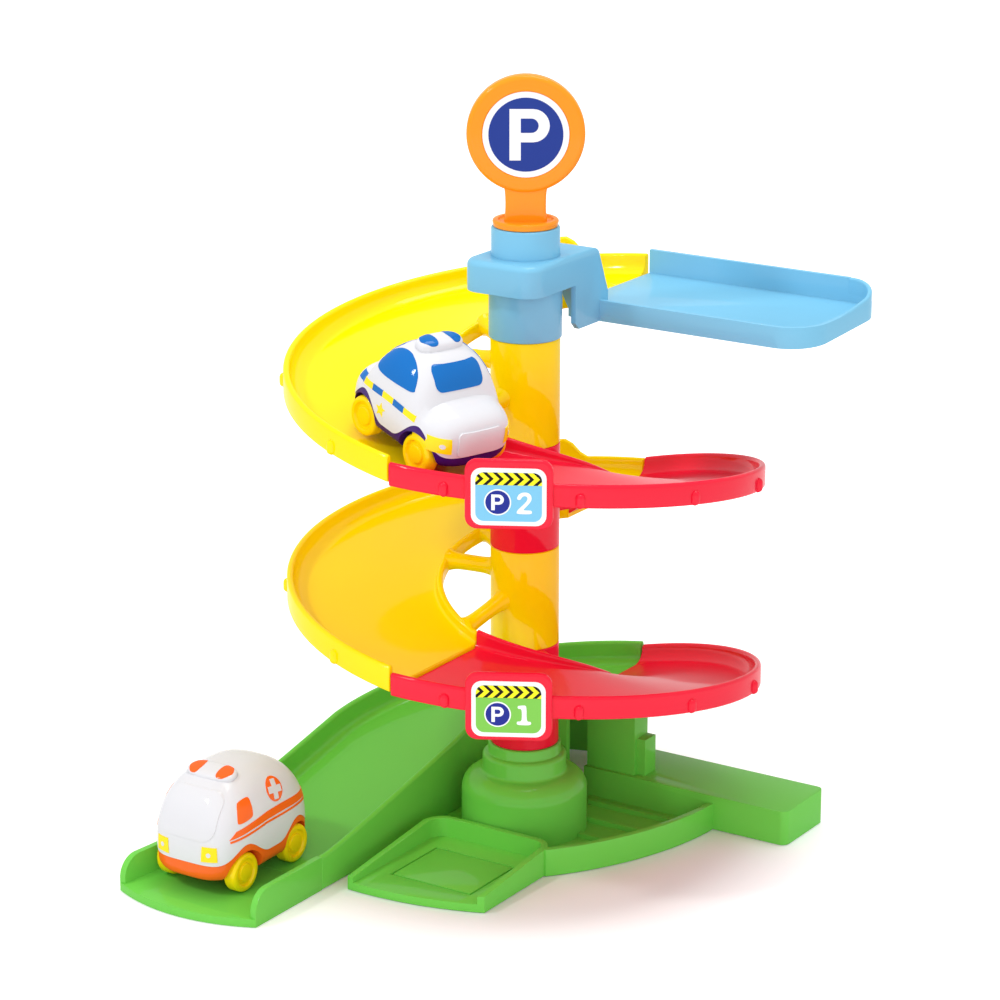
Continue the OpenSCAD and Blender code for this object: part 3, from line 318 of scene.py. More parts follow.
# Red decks: two half-turn parking levels. Each is one moulding of a column collar, three spokes, a
# falling floor between two rails, small ribs outside and a plate for the level's sign.
DECK_RAIL_H, LANE_FILLET_R, LANE_EDGE, PLATE_EDGE = 14, 9, 0.7, 1.6
DECK_START_Z, LEVEL_PITCH, DECK_DROP, DECK_EASE = 133, 127, 67, 0.25
DECK_WALL_TOP, DECK_WALL_RUN, DECK_CURB_H = 13.5, 0.58, 1.5
COLUMN_R, COLUMN_WALL, COLUMN_BASE_Z, COLLAR_LEN = 21, 2.5, 60, 65
SPOKE_DEGS, SPOKE_T, SPOKE_H = (330, 375, 425), 5, 7
DECK_RIB_DEGS, RIB_R, RIB_H = (284, 315, 345, 375, 405), 3, 9
PLATE_DEG, PLATE_W, PLATE_H, PLATE_T, PLATE_CORNER_R, PLATE_OVER = 299, 50, 41, 4.5, 7, 13
red = plastic("red_plastic", "red", ink(237, 24, 54))


def fall(share, ease):
    """Share of a lane's fall that is done at a share of the way."""
    return ease * share + (1 - ease) * share * share


def lane_outline(outer_h, inner_h):
    """Section of a lane as radius and height: two rails with round tops and a hollowed floor."""
    half = RAIL_T / 2
    inner_rise = inner_h - FLOOR_T
    cap, foot = min(half, inner_rise * 0.6), min(4, inner_rise * 0.35)
    outer, inner = LANE_OUTER_R - RAIL_T, LANE_INNER_R + RAIL_T
    outline = arc(LANE_INNER_R + 1, 1, 1, 1, 180, 270, 3)
    outline += arc(LANE_OUTER_R - 1.5, 1.5, 1.5, 1.5, 270, 360, 4)
    outline += arc(LANE_OUTER_R - half, outer_h - half, half, half, 0, 180, 8)
    outline += arc(outer - LANE_FILLET_R, FLOOR_T + LANE_FILLET_R, LANE_FILLET_R, LANE_FILLET_R, 0, -90, 8)
    outline += arc(inner + foot, FLOOR_T + foot, foot, foot, 270, 180, 5)
    outline += arc(LANE_INNER_R + half, inner_h - cap, half, cap, 0, 180, 8)
    return outline


def deck_height(share):
    return DECK_START_Z - DECK_DROP * fall(share, DECK_EASE)


def deck_wall_h(share):
    taper = (DECK_WALL_TOP - FLOOR_T) * (1 - share / DECK_WALL_RUN)
    return FLOOR_T + math.hypot(DECK_CURB_H, max(0, taper))


def sleeve(name, low, high):
    """A column sleeve with rounded ends."""
    outline = [(COLUMN_R - COLUMN_WALL, low)] + arc(COLUMN_R - 0.8, low + 0.8, 0.8, 0.8, 270, 360, 3)
    outline += arc(COLUMN_R - 0.8, high - 0.8, 0.8, 0.8, 0, 90, 3) + [(COLUMN_R - COLUMN_WALL, high)]
    return turned(name, outline)


def rail_rib(name, degrees, foot):
    """A half-round rib outside a rail, domed at its top and foot."""
    turn = math.radians(degrees)
    sections = []
    for step in range(13):
        up = step / 12
        radius = RIB_R * (1 - abs(2 * up - 1) ** 5 * 0.75)
        centre = ((LANE_OUTER_R - 0.5) * math.cos(turn), (LANE_OUTER_R - 0.5) * math.sin(turn))
        height = foot + RIB_H * up
        sections.append([(x, y, height) for x, y in arc(*centre, radius, radius, 0, 337.5, 15)])
    return swept(name, sections)


def rounded_rect(width, height, corner, steps=6):
    """Outline of a rectangle with round corners, about its middle."""
    across, up = width / 2 - corner, height / 2 - corner
    outline = arc(across, up, corner, corner, 0, 90, steps) + arc(-across, up, corner, corner, 90, 180, steps)
    outline += arc(-across, -up, corner, corner, 180, 270, steps)
    return outline + arc(across, -up, corner, corner, 270, 360, steps)


def slab(name, outline, low, high, place):
    """A flat outline given a thickness from low to high, in a frame of its own, then put in place."""
    piece = swept(name, [[(x, y, z) for x, y in outline] for z in (low, high)])
    piece.data.transform(place)
    return piece


def joined(name, pieces):
    """Several mouldings as one piece."""
    only(pieces[0])
    for piece in pieces:
        piece.select_set(True)
    bpy.ops.object.join()
    pieces[0].name = name
    return pieces[0]


def sign_frame(degrees, radius, height):
    """Frame of an upright sign seen from outside: X to the right, Y up, Z outwards, in metres."""
    turn = math.radians(degrees)
    out = Vector((math.cos(turn), math.sin(turn), 0))
    right = Vector((-math.sin(turn), math.cos(turn), 0))
    axes = Matrix((right, Vector((0, 0, 1)), out)).transposed().to_4x4()
    return Matrix.Translation(out * radius * MM + Vector((0, 0, height * MM))) @ axes


def plate_frame(level):
    rim = deck_height((PLATE_DEG - 270) / 180) + level * LEVEL_PITCH + DECK_RAIL_H
    return sign_frame(PLATE_DEG, LANE_OUTER_R - RAIL_T / 2, rim + PLATE_OVER - PLATE_H / 2)


for level in (0, 1):
    node, lift = f"deck_{level + 1}", level * LEVEL_PITCH
    sections = []
    for step in range(73):
        share = step / 72
        outline = lane_outline(DECK_RAIL_H, deck_wall_h(share))
        degrees = 270 + SEAM_DEG + (180 - 2 * SEAM_DEG) * share
        sections.append(round_column(outline, degrees, deck_height(share) + lift))
    parts = [soften(swept(node + "_lane", sections), LANE_EDGE, 2, 50)]
    parts.append(sleeve(node + "_collar", COLUMN_BASE_Z + lift, COLUMN_BASE_Z + lift + COLLAR_LEN))
    for degrees in SPOKE_DEGS:
        height = deck_height((degrees - 270) / 180) + lift + FLOOR_T - SPOKE_H / 2
        spoke = rounded_rect(SPOKE_T, SPOKE_H, 1.2, 3)
        axis = sign_frame(degrees, COLUMN_R - 1, height)
        parts.append(slab(f"{node}_spoke_{degrees}", spoke, 0, LANE_INNER_R + 3 - COLUMN_R, axis))
    for degrees in DECK_RIB_DEGS:
        parts.append(rail_rib(f"{node}_rib_{degrees}", degrees, deck_height((degrees - 270) / 180) + lift))
    outline = rounded_rect(PLATE_W, PLATE_H, PLATE_CORNER_R)
    parts.append(soften(slab(node + "_plate", outline, 0, PLATE_T, plate_frame(level)), PLATE_EDGE, 4))
    dressed(joined(node + "_moulding", parts), "tower", red, node)

# Level signs: printed card stuck on the plates, a white border round a band of black and yellow
# chevrons and a coloured panel with a parking disc and the level's number.
LABEL_W, LABEL_H, LABEL_CORNER_R, LABEL_T, LABEL_DROP = 42.6, 33.6, 6, 0.5, 1
BORDER, BAND_H, INK_T = 2.5, 7.3, 0.12
CHEVRONS, CHEVRON_PITCH, CHEVRON_W, CHEVRON_POINT, CHEVRON_TIP = 8, 5.7, 3.2, 4.4, 2.3
DISC_X, DISC_Y, DISC_R, DISC_RING = -6.2, -3.1, 7.7, 0.8
LEVEL_P_H, FIGURE_X, FIGURE_Y = 9.2, 8.9, -3.4
ONE = [(-4.1, -6), (4.1, -6), (4.1, -3.8), (1.5, -3.8), (1.5, 6), (-1, 6), (-3.6, 5.7), (-3.6, 3.9)]
ONE += [(-1.2, 3.9), (-1.2, -3.8), (-4.1, -3.8)]
TWO = [(-4.3, -6.4), (4.3, -6.4), (4.3, -4.2), (-1, -4.2), (0.9, -2.2), (2.8, -0.1), (3.9, 1.7), (4.1, 3.1)]
TWO += [(3.7, 4.7), (2.4, 6), (0.4, 6.4), (-1.6, 6.1), (-3.2, 5), (-4.1, 3.3), (-4, 2.2), (-3, 1.8)]
TWO += [(-2, 2.3), (-1.6, 3.2), (-0.8, 4), (0.3, 4.3), (1.4, 3.9), (1.8, 3), (1.6, 1.8), (0.4, 0.1)]
TWO += [(-1.6, -1.9), (-3.3, -3.6), (-4.3, -4.9)]
paper = plastic("label_paper", "label", ink(244, 245, 247), 0.5, 0, 0.15)
band_ink = plastic("chevron_black", "label", ink(24, 18, 16), 0.5, 0, 0.15)
band_yellow = plastic("chevron_yellow", "label", ink(246, 236, 40), 0.5, 0, 0.15)
disc_ink = plastic("disc_blue", "label", ink(38, 48, 142), 0.5, 0, 0.15)
panel_inks = (
    plastic("panel_green", "label", ink(128, 198, 84), 0.5, 0, 0.15),
    plastic("panel_blue", "label", ink(126, 194, 228), 0.5, 0, 0.15),
)


def cut(piece, tool, operation):
    """Cuts a piece with a tool, or keeps what both share, and removes the tool."""
    only(piece)
    boolean = piece.modifiers.new("Cut", "BOOLEAN")
    boolean.operation = operation
    boolean.solver = "EXACT"
    boolean.object = tool
    bpy.ops.object.modifier_apply(modifier=boolean.name)
    bpy.data.objects.remove(tool)
    bpy.ops.object.shade_smooth_by_angle(angle=math.radians(35))
    return piece


def smooth_outline(corners, rounds=3, first=0.25):
    """A closed outline with its corners cut until they are round. A corner given twice stays."""
    for number in range(rounds):
        cut_off = first if number == 0 else 0.25
        following = corners[1:] + corners[:1]
        corners = [
            (a[0] + (b[0] - a[0]) * share, a[1] + (b[1] - a[1]) * share)
            for a, b in zip(corners, following)
            for share in ((cut_off, 1 - cut_off) if a != b else (0.5,))
        ]
    return corners


def printed(name, outline, layer, base, place, material, body):
    """One printed colour: an outline that lies on the layers printed before it."""
    low = base + layer * INK_T
    piece = slab(name, outline, low, low + INK_T, place)
    return dressed(piece, body, material)


def parking_letter(name, height, across, up, layer, base, place, back, body):
    """A printed white P: a stem with a round bowl, and the bowl's inside in the colour behind it."""
    unit = height / 30.5
    letter = [(0, 0), (6.6, 0), (6.6, 10.8), (13.7, 10.8)] + arc(13.7, 20.65, 9.85, 9.85, -75, 75, 16)
    letter += [(13.7, 30.5), (0, 30.5)]
    inside = [(6.6, 16.4), (12.8, 16.4)] + arc(12.8, 20.65, 4.25, 4.25, -75, 75, 12)
    inside += [(12.8, 24.9), (6.6, 24.9)]
    for word, outline, step, material in (("letter", letter, 0, paper), ("letter_inside", inside, 1, back)):
        outline = [(across + (x - 11.8) * unit, up + (y - 15.25) * unit) for x, y in outline]
        printed(f"{name}_{word}", outline, layer + step, base, place, material, body)


for level in (0, 1):
    node = f"deck_{level + 1}_label"
    place = plate_frame(level) @ Matrix.Translation((0, -LABEL_DROP * MM, 0))
    base = PLATE_T + LABEL_T
    card = slab(node + "_card", rounded_rect(LABEL_W, LABEL_H, LABEL_CORNER_R), PLATE_T, base, place)
    dressed(card, "tower", paper, node)
    width, height, corner = LABEL_W - 2 * BORDER, LABEL_H - 2 * BORDER, LABEL_CORNER_R - BORDER / 2
    panel = rounded_rect(width, height, corner)
    printed(node + "_panel", panel, 0, base, place, panel_inks[level], "tower")
    top, low = height / 2, height / 2 - BAND_H
    band = arc(width / 2 - corner, top - corner, corner, corner, 0, 90, 6)
    band += arc(corner - width / 2, top - corner, corner, corner, 90, 180, 6)
    band += [(-width / 2, low), (width / 2, low)]
    printed(node + "_band", band, 1, base, place, band_ink, "tower")
    middle = (top + low) / 2
    for number in range(CHEVRONS):
        tip = -width / 2 + CHEVRON_TIP + number * CHEVRON_PITCH
        ends = [(tip - CHEVRON_POINT, top + 0.5), (tip, middle), (tip - CHEVRON_POINT, low - 0.5)]
        chevron = ends + [(x - CHEVRON_W, y) for x, y in reversed(ends)]
        piece = printed(f"{node}_chevron_{number + 1}", chevron, 2, base, place, band_yellow, "tower")
        cut(piece, slab("band", band, base, base + 5 * INK_T, place), "INTERSECT")
    rings = ((1, DISC_R, paper, "ring"), (2, DISC_R - DISC_RING, disc_ink, "disc"))
    for layer, radius, material, word in rings:
        outline = arc(DISC_X, DISC_Y, radius, radius, 0, 352.5, 47)
        printed(f"{node}_{word}", outline, layer, base, place, material, "tower")
    parking_letter(node, LEVEL_P_H, DISC_X, DISC_Y, 3, base, place, disc_ink, "tower")
    figure = [(FIGURE_X + x, FIGURE_Y + y) for x, y in smooth_outline((ONE, TWO)[level], 2, 0.2)]
    printed(node + "_figure", figure, 1, base, place, paper, "tower")

# Yellow lanes: two half-turn spirals behind the column, each moulded in one with its column
# sleeve, three struts, a guard hump on the outer rail and small ribs outside.
SPIRAL_EASE, SPIRAL_RAIL_H, INNER_RAIL_H = 0.7, 16, 10
LOWER_SPIRAL, UPPER_SPIRAL = (190, 135), (324, 262)
HUMP_H, HUMP_DEG, HUMP_HALF_DEG = 12, 118, 12
STRUTS, STRUT_R = ((150, -6), (187, 0), (258, 11)), 5
SPIRAL_RIB_DEGS, COLUMN_TOP_Z = (135, 174, 213, 252), 317.5
yellow = plastic("yellow_plastic", "yellow", ink(255, 222, 0))


def spiral_height(share, ends):
    return ends[0] - (ends[0] - ends[1]) * fall(share, SPIRAL_EASE)


def hump(degrees):
    """Extra height of the outer rail, a smooth bump with a flat top."""
    rise = min(1, max(0, 2 - 2 * abs(degrees - HUMP_DEG) / HUMP_HALF_DEG))
    return HUMP_H * rise * rise * (3 - 2 * rise)


def strut(name, degrees, height, rise):
    """A round strut from the column down or up to a lane, flared at both ends."""
    axis = sign_frame(degrees, 0, 0)
    near, far = COLUMN_R - 2, LANE_INNER_R + 2
    sections = []
    for step in range(17):
        along = step / 16
        radius = STRUT_R * (1 + 0.45 * abs(2 * along - 1) ** 4)
        centre = height + rise * (1 - along)
        out = near + (far - near) * along
        sections.append([(x, y, out) for x, y in arc(0, centre, radius, radius, 0, 345, 23)])
    piece = swept(name, sections)
    piece.data.transform(axis)
    return piece


spirals = (
    ("lower_spiral", LOWER_SPIRAL, COLUMN_BASE_Z + COLLAR_LEN, COLUMN_BASE_Z + LEVEL_PITCH),
    ("upper_spiral", UPPER_SPIRAL, COLUMN_BASE_Z + COLLAR_LEN + LEVEL_PITCH, COLUMN_TOP_Z),
)
for node, ends, sleeve_low, sleeve_high in spirals:
    sections = []
    for step in range(91):
        share = step / 90
        degrees = 90 + SEAM_DEG + (180 - 2 * SEAM_DEG) * share
        outline = lane_outline(SPIRAL_RAIL_H + hump(90 + 180 * share), INNER_RAIL_H)
        sections.append(round_column(outline, degrees, spiral_height(share, ends)))
    parts = [soften(swept(node + "_lane", sections), LANE_EDGE, 2, 50)]
    parts.append(sleeve(node + "_sleeve", sleeve_low, sleeve_high))
    for degrees, rise in STRUTS:
        height = spiral_height((degrees - 90) / 180, ends) + STRUT_R
        parts.append(strut(f"{node}_strut_{degrees}", degrees, height, rise))
    for degrees in SPIRAL_RIB_DEGS:
        parts.append(rail_rib(f"{node}_rib_{degrees}", degrees, spiral_height((degrees - 90) / 180, ends)))
    dressed(joined(node + "_moulding", parts), "tower", yellow, node)

# Hub: the light blue top of the column, a sleeve with a shoulder and a narrower tube that the
# platform's block turns on. The sign's pivot drops into its bore.
HUB_R, HUB_TUBE_R, HUB_BORE_R, HUB_SHOULDER_Z, HUB_TOP_Z = 22, 20.5, 15.58, 348, 384.5
blue = plastic("blue_plastic", "blue", ink(121, 188, 220))
hub_outline = [(HUB_BORE_R, COLUMN_TOP_Z)] + arc(HUB_R - 0.8, COLUMN_TOP_Z + 0.8, 0.8, 0.8, 270, 360, 3)
hub_outline += [(HUB_R, HUB_SHOULDER_Z), (HUB_TUBE_R, HUB_SHOULDER_Z)]
hub_outline += arc(HUB_TUBE_R - 1, HUB_TOP_Z - 1, 1, 1, 0, 90, 4) + [(HUB_BORE_R, HUB_TOP_Z)]
dressed(turned("hub_moulding", hub_outline), "tower", blue, "hub")

# Launch platform: a light blue block on the hub, an arm down from it and a shallow tray with a tall
# back rail that runs out round the far corner. It is one moulding and swings on the hub.
TRAY_X0, TRAY_X1, TRAY_Y1 = 4, 168, 141
TRAY_CORNER_R, TRAY_WALL, TRAY_RIM_Z, BACK_RAIL_H = 24, 3, 334, 10
RAIL_END_Y, RAIL_LEAN, RAIL_LEAN_POINTS, RAIL_FALL_POINT = 74, 5, 4, 22
BLOCK_TOP_Z, BLOCK_EDGE, PLATFORM_EDGE = 367.4, 4, 1.3
platform = welded_copy("launch_platform")
only(platform)
bpy.ops.object.mode_set(mode="EDIT")
bpy.ops.mesh.select_mode(type="EDGE")
bpy.ops.mesh.select_all(action="DESELECT")
for edge in bmesh.from_edit_mesh(platform.data).edges:
    ends = [vert.co / MM for vert in edge.verts]
    edge.select_set(all(abs(e.z - BLOCK_TOP_Z) < 0.05 and e.xy.length > HUB_TUBE_R + 1 for e in ends))
bpy.ops.mesh.bevel(offset=BLOCK_EDGE * MM, segments=6, affect="EDGES", clamp_overlap=True)
bpy.ops.mesh.select_mode(type="VERT")
bpy.ops.object.mode_set(mode="OBJECT")
soften(platform, PLATFORM_EDGE)
rail_run = TRAY_X1 - TRAY_CORNER_R - TRAY_X0
rail_line = [(TRAY_X0 + rail_run * i / 20, TRAY_Y1 - TRAY_WALL / 2) for i in range(20)]
bend = TRAY_CORNER_R - TRAY_WALL / 2
rail_line += arc(TRAY_X1 - TRAY_CORNER_R, TRAY_Y1 - TRAY_CORNER_R, bend, bend, 90, 0, 16)
straight = TRAY_Y1 - TRAY_CORNER_R - RAIL_END_Y
rail_line += [(TRAY_X1 - TRAY_WALL / 2, TRAY_Y1 - TRAY_CORNER_R - straight * i / 12) for i in range(1, 13)]
sections = []
for number, (x, y) in enumerate(rail_line):
    before, after = rail_line[max(0, number - 1)], rail_line[min(len(rail_line) - 1, number + 1)]
    along = Vector((after[0] - before[0], after[1] - before[1])).normalized()
    side = Vector((along.y, -along.x))
    left = max(0, 1 - number / RAIL_LEAN_POINTS)
    drop = max(0, (number - RAIL_FALL_POINT) / (len(rail_line) - 1 - RAIL_FALL_POINT))
    height = BACK_RAIL_H * (1 - drop * drop * (3 - 2 * drop)) + 0.05
    half = TRAY_WALL / 2 - 0.1
    wall = [(-half, -2), (half, -2)] + arc(0, max(0, height - half), half, min(half, height), 0, 180, 8)
    lean = RAIL_LEAN * left
    sections.append(
        [(x + side.x * a + lean * max(0, z) / BACK_RAIL_H, y + side.y * a, TRAY_RIM_Z + z) for a, z in wall]
    )
back_rail = soften(swept("back_rail", sections), 0.5, 2, 50)
dressed(joined("launch_platform_moulding", [platform, back_rail]), "platform", blue, "launch_platform")

# Sign: an orange disc with a rounded rim on a flat stem, moulded with a collar and a pivot plug
# that turns in the hub, and with a shallow seat on each side for a printed disc.
SIGN_R, SIGN_T, SIGN_Z, SIGN_ROUND, SIGN_DEG = 35, 11, 440, 3, 303
SIGN_SEAT_R, SIGN_SEAT_D, STEM_W, STEM_T = 25.65, 0.8, 24, 8
SIGN_COLLAR_R, SIGN_COLLAR_Z, SIGN_COLLAR_H, PIVOT_R, PIVOT_Z = 19.7, 384.9, 4, 15.5, 370.5
orange = plastic("orange_plastic", "orange", ink(248, 148, 24))
sign_place = sign_frame(SIGN_DEG, 0, SIGN_Z)
face = SIGN_T / 2
disc_outline = [(0, -face + SIGN_SEAT_D), (SIGN_SEAT_R, -face + SIGN_SEAT_D), (SIGN_SEAT_R + 0.4, -face)]
disc_outline += arc(SIGN_R - SIGN_ROUND, -face + SIGN_ROUND, SIGN_ROUND, SIGN_ROUND, 270, 360, 8)
disc_outline += arc(SIGN_R - SIGN_ROUND, face - SIGN_ROUND, SIGN_ROUND, SIGN_ROUND, 0, 90, 8)
disc_outline += [(SIGN_SEAT_R + 0.4, face), (SIGN_SEAT_R, face - SIGN_SEAT_D), (0, face - SIGN_SEAT_D)]
sign_disc = turned("sign_disc", disc_outline, 128)
sign_disc.data.transform(sign_place)
collar_outline = [(0, PIVOT_Z), (PIVOT_R, PIVOT_Z), (PIVOT_R, SIGN_COLLAR_Z)]
collar_outline += [(SIGN_COLLAR_R - 0.6, SIGN_COLLAR_Z)]
collar_outline += arc(SIGN_COLLAR_R - 1.4, SIGN_COLLAR_Z + SIGN_COLLAR_H - 1.4, 1.4, 1.4, 0, 90, 5)
collar_outline += [(SIGN_COLLAR_R - 3.2, SIGN_COLLAR_Z + SIGN_COLLAR_H)]
collar_outline += [(SIGN_COLLAR_R - 3.8, SIGN_COLLAR_Z + SIGN_COLLAR_H - 1.2)]
collar_outline += [(0, SIGN_COLLAR_Z + SIGN_COLLAR_H - 1.2)]
sign_collar = turned("sign_collar", collar_outline)
stem_low = SIGN_COLLAR_Z + 1
stem_high = SIGN_Z - SIGN_SEAT_R - 4
stem_sections = []
for step in range(9):
    up = step / 8
    flare = 1 + 0.1 * (1 - up) ** 6 + 0.12 * up**6
    outline = rounded_rect(STEM_W * flare, STEM_T, 1.8, 4)
    stem_sections.append([(x, stem_low + (stem_high - stem_low) * up - SIGN_Z, z) for x, z in outline])
stem = swept("sign_stem", stem_sections)
stem.data.transform(sign_place)
dressed(joined("sign_moulding", [sign_disc, sign_collar, stem]), "sign", orange, "sign_post")

# Printed discs of the sign: white card with a blue disc and a white parking letter, glued into
# the seats of the sign's two faces.
CARD_R, CARD_T, SIGN_BLUE_R, SIGN_P_H, SIGN_P_X = 25.5, 0.5, 22, 30.5, 2.2
sign_blue = plastic("sign_blue", "label", ink(38, 60, 142), 0.5, 0, 0.15)
for side, node in ((0, "sign_label_front"), (180, "sign_label_back")):
    place = sign_frame(SIGN_DEG + side, 0, SIGN_Z)
    base = SIGN_T / 2 - SIGN_SEAT_D
    card = slab(node + "_card", arc(0, 0, CARD_R, CARD_R, 0, 355, 71), base, base + CARD_T, place)
    dressed(card, "sign", paper, node)
    base += CARD_T
    outline = arc(0, 0, SIGN_BLUE_R, SIGN_BLUE_R, 0, 355, 71)
    printed(node + "_disc", outline, 0, base, place, sign_blue, "sign")
    parking_letter(node, SIGN_P_H, SIGN_P_X, 0, 1, base, place, sign_blue, "sign")

# Cars: two chunky toddler cars, each a white shell on a coloured chassis that rises over the wheels.
# Shell and chassis are moulded apart and screwed together; windows, lamps and stripes are inlaid.
CAR_LEN, CAR_W, CAR_LOW, CAR_SEAM = 92, 64, 8, 22
WHEEL_D, WHEEL_W, WHEELBASE, WHEEL_TRACK, ARCH_R, ARCH_Y = 24, 9, 50, 50, 14, 20
BAND_TOP, BAND_REACH, INLAY = 30.4, 20, 0.3
LAMP_LIFT, BULB_LIFT = 0.5, 0.7
white = plastic("white_plastic", "white", ink(216, 216, 220), 0.26)


def axle_middle(node):
    low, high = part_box(node)
    return (Vector(low) + Vector(high)) / 2


def car_place(car):
    """A car's own frame, found from its axles: X forwards, Y to its left, Z up from its wheels' feet."""
    front, rear = axle_middle(car + "_front_axle"), axle_middle(car + "_rear_axle")
    forward = (front - rear).normalized()
    left = Vector((0, 0, 1)).cross(forward).normalized()
    up = forward.cross(left)
    axes = Matrix((forward, left, up)).transposed().to_4x4()
    return Matrix.Translation((front + rear) / 2 - up * (WHEEL_D / 2 * MM)) @ axes


def swell(x, power):
    return max(0, 1 - abs(x) ** power) ** (1 / power)


def bulged(name, length, side, top, low):
    """A closed swelling form about its seam, from sections whose half sizes go by the way along it."""
    sections = []
    for step in range(57):
        x = math.cos(math.pi * step / 56)
        x = max(-0.9985, min(0.9985, x))
        section = []
        for turn in range(48):
            c, s = math.cos(math.pi * turn / 24), math.sin(math.pi * turn / 24)
            power = 0.7 if s > 0 else 0.5
            across = side(x) * math.copysign(abs(c) ** power, c)
            up = (top(x) if s > 0 else low(x)) * math.copysign(abs(s) ** power, s)
            section.append((x * length / 2, across, up))
        sections.append(section)
    return swept(name, sections)


def car_body(name, top):
    """A whole car body as one closed form, with its seam at the chassis' height."""
    side, low = CAR_W / 2, CAR_SEAM - CAR_LOW
    form = bulged(name, CAR_LEN, lambda x: side * swell(x, 3.8), top, lambda x: low * swell(x, 8))
    form.data.transform(Matrix.Translation((0, 0, CAR_SEAM * MM)))
    return form


def copy_of(piece, name):
    """A copy of a piece with a mesh of its own."""
    only(piece)
    bpy.ops.object.duplicate(linked=False)
    copy = bpy.context.object
    copy.name = name
    return copy


def band_edge(x, dip):
    """Height of the line between chassis and shell, which dips between the wheels and rises over them."""
    away = min(abs(x - WHEELBASE / 2), abs(x + WHEELBASE / 2)) / BAND_REACH
    return dip + (BAND_TOP - dip) * math.cos(min(1, away) * math.pi / 2) ** 2


def side_prism(name, outline, near, far):
    """A tool drawn in the side view, along X and Z, from one Y to another."""
    return swept(name, [[(x, y, z) for x, z in outline] for y in (near, far)])


def front_prism(name, outline, near, far):
    """A tool drawn in the front view, along Y and Z, from one X to another."""
    return swept(name, [[(x, y, z) for y, z in outline] for x in (near, far)])


def inlay(name, form, tool, lift, place, material, body):
    """An inlaid or printed patch: the body's own surface, raised a little, inside a tool."""
    patch = copy_of(form, name)
    displace = patch.modifiers.new("Raise", "DISPLACE")
    displace.strength = lift * MM
    displace.mid_level = 0
    bpy.ops.object.modifier_apply(modifier=displace.name)
    cut(patch, tool, "INTERSECT")
    patch.data.transform(place)
    return dressed(patch, body, material)


def shell_and_chassis(car, form, dip, place, body, chassis_material):
    """The car's form split along the wavy line, with the wheel arches cut out of both."""
    steps = [CAR_LEN * (i / 80 - 0.5) * 1.1 for i in range(81)]
    band = [(steps[0], 0), (steps[-1], 0)] + [(x, band_edge(x, dip)) for x in reversed(steps)]
    shell = cut(copy_of(form, car + "_shell_moulding"), side_prism("band", band, -40, 40), "DIFFERENCE")
    chassis = copy_of(form, car + "_chassis_moulding")
    displace = chassis.modifiers.new("Draw in", "DISPLACE")
    displace.strength = -0.35 * MM
    displace.mid_level = 0
    bpy.ops.object.modifier_apply(modifier=displace.name)
    cut(chassis, side_prism("band", band, -40, 40), "INTERSECT")
    for axle in (-WHEELBASE / 2, WHEELBASE / 2):
        for near, far in ((ARCH_Y, 40), (-40, -ARCH_Y)):
            arch = arc(axle, WHEEL_D / 2, ARCH_R, ARCH_R, 0, 354, 59)
            cut(chassis, side_prism("arch", arch, near, far), "DIFFERENCE")
            cut(shell, side_prism("arch", arch, near, far), "DIFFERENCE")
    for piece, material, node in ((shell, white, "_shell"), (chassis, chassis_material, "_chassis")):
        soften(piece, 0.35, 2, 50)
        piece.data.transform(place)
        dressed(piece, body, material, car + node)


def wheel_pair(car, end, place, body, material):
    """Two moulded wheels with rounded treads, dished faces and a raised hub."""
    radius, half = WHEEL_D / 2, WHEEL_W / 2
    outline = [(0, -half), (radius - 2, -half)] + arc(radius - 2, -half + 2, 2, 2, 270, 360, 6)
    outline += arc(radius - 2, half - 2, 2, 2, 0, 90, 6) + arc(radius - 3, half - 0.6, 0.6, 0.6, 90, 180, 3)
    outline += [(radius - 4.2, half - 1.7), (radius - 6.2, half - 1.7)]
    outline += arc(radius - 7.2, half - 1.2, 0.8, 0.8, 0, 90, 4) + [(0, half - 0.3)]
    node = "front" if end > 0 else "rear"
    wheels = []
    for side in (-1, 1):
        wheel = turned(f"{car}_{node}_wheel_{side + 2}", outline, 64)
        turn = Matrix.Rotation(math.radians(-90 * side), 4, "X")
        centre = Vector((end * WHEELBASE / 2, side * WHEEL_TRACK / 2, WHEEL_D / 2)) * MM
        wheel.data.transform(place @ Matrix.Translation(centre) @ turn)
        wheels.append(wheel)
    piece = joined(f"{car}_{node}_wheels_moulding", wheels)
    dressed(piece, body, material, f"{car}_{node}_wheels")


def beacon(car, half_w, middle, roof_z, height, tilt, place, body, lens):
    """A roof light: a swelling white bar across the roof, with a coloured lens inlaid in each end."""
    half_len, sunk = 7.8, 3
    bar = bulged(
        car + "_beacon_bar",
        2 * half_len,
        lambda x: half_w * swell(x, 2.6),
        lambda x: height * swell(x, 2.6),
        lambda x: sunk * swell(x, 2.6),
    )
    spot = Matrix.Translation(Vector((middle, 0, roof_z)) * MM)
    seat = place @ spot @ Matrix.Rotation(math.radians(tilt), 4, "Y")
    for side, word in ((-1, "right"), (1, "left")):
        near, far = side * (half_w - 10), side * (half_w - 0.9)
        glass = [(0.8 - half_len, near), (0, near - side), (half_len - 0.8, near)]
        glass += [(half_len - 1.6, far - side * 3.6), (0, far), (1.6 - half_len, far - side * 3.6)]
        glass = smooth_outline(glass, 3, 0.2)
        tool = swept("lens", [[(x, y, z) for x, y in glass] for z in (0.2, 12)])
        inlay(f"{car}_lens_{word}", bar, tool, INLAY, seat, lens, body)
    bar.data.transform(seat)
    dressed(bar, body, white, car + "_beacon")


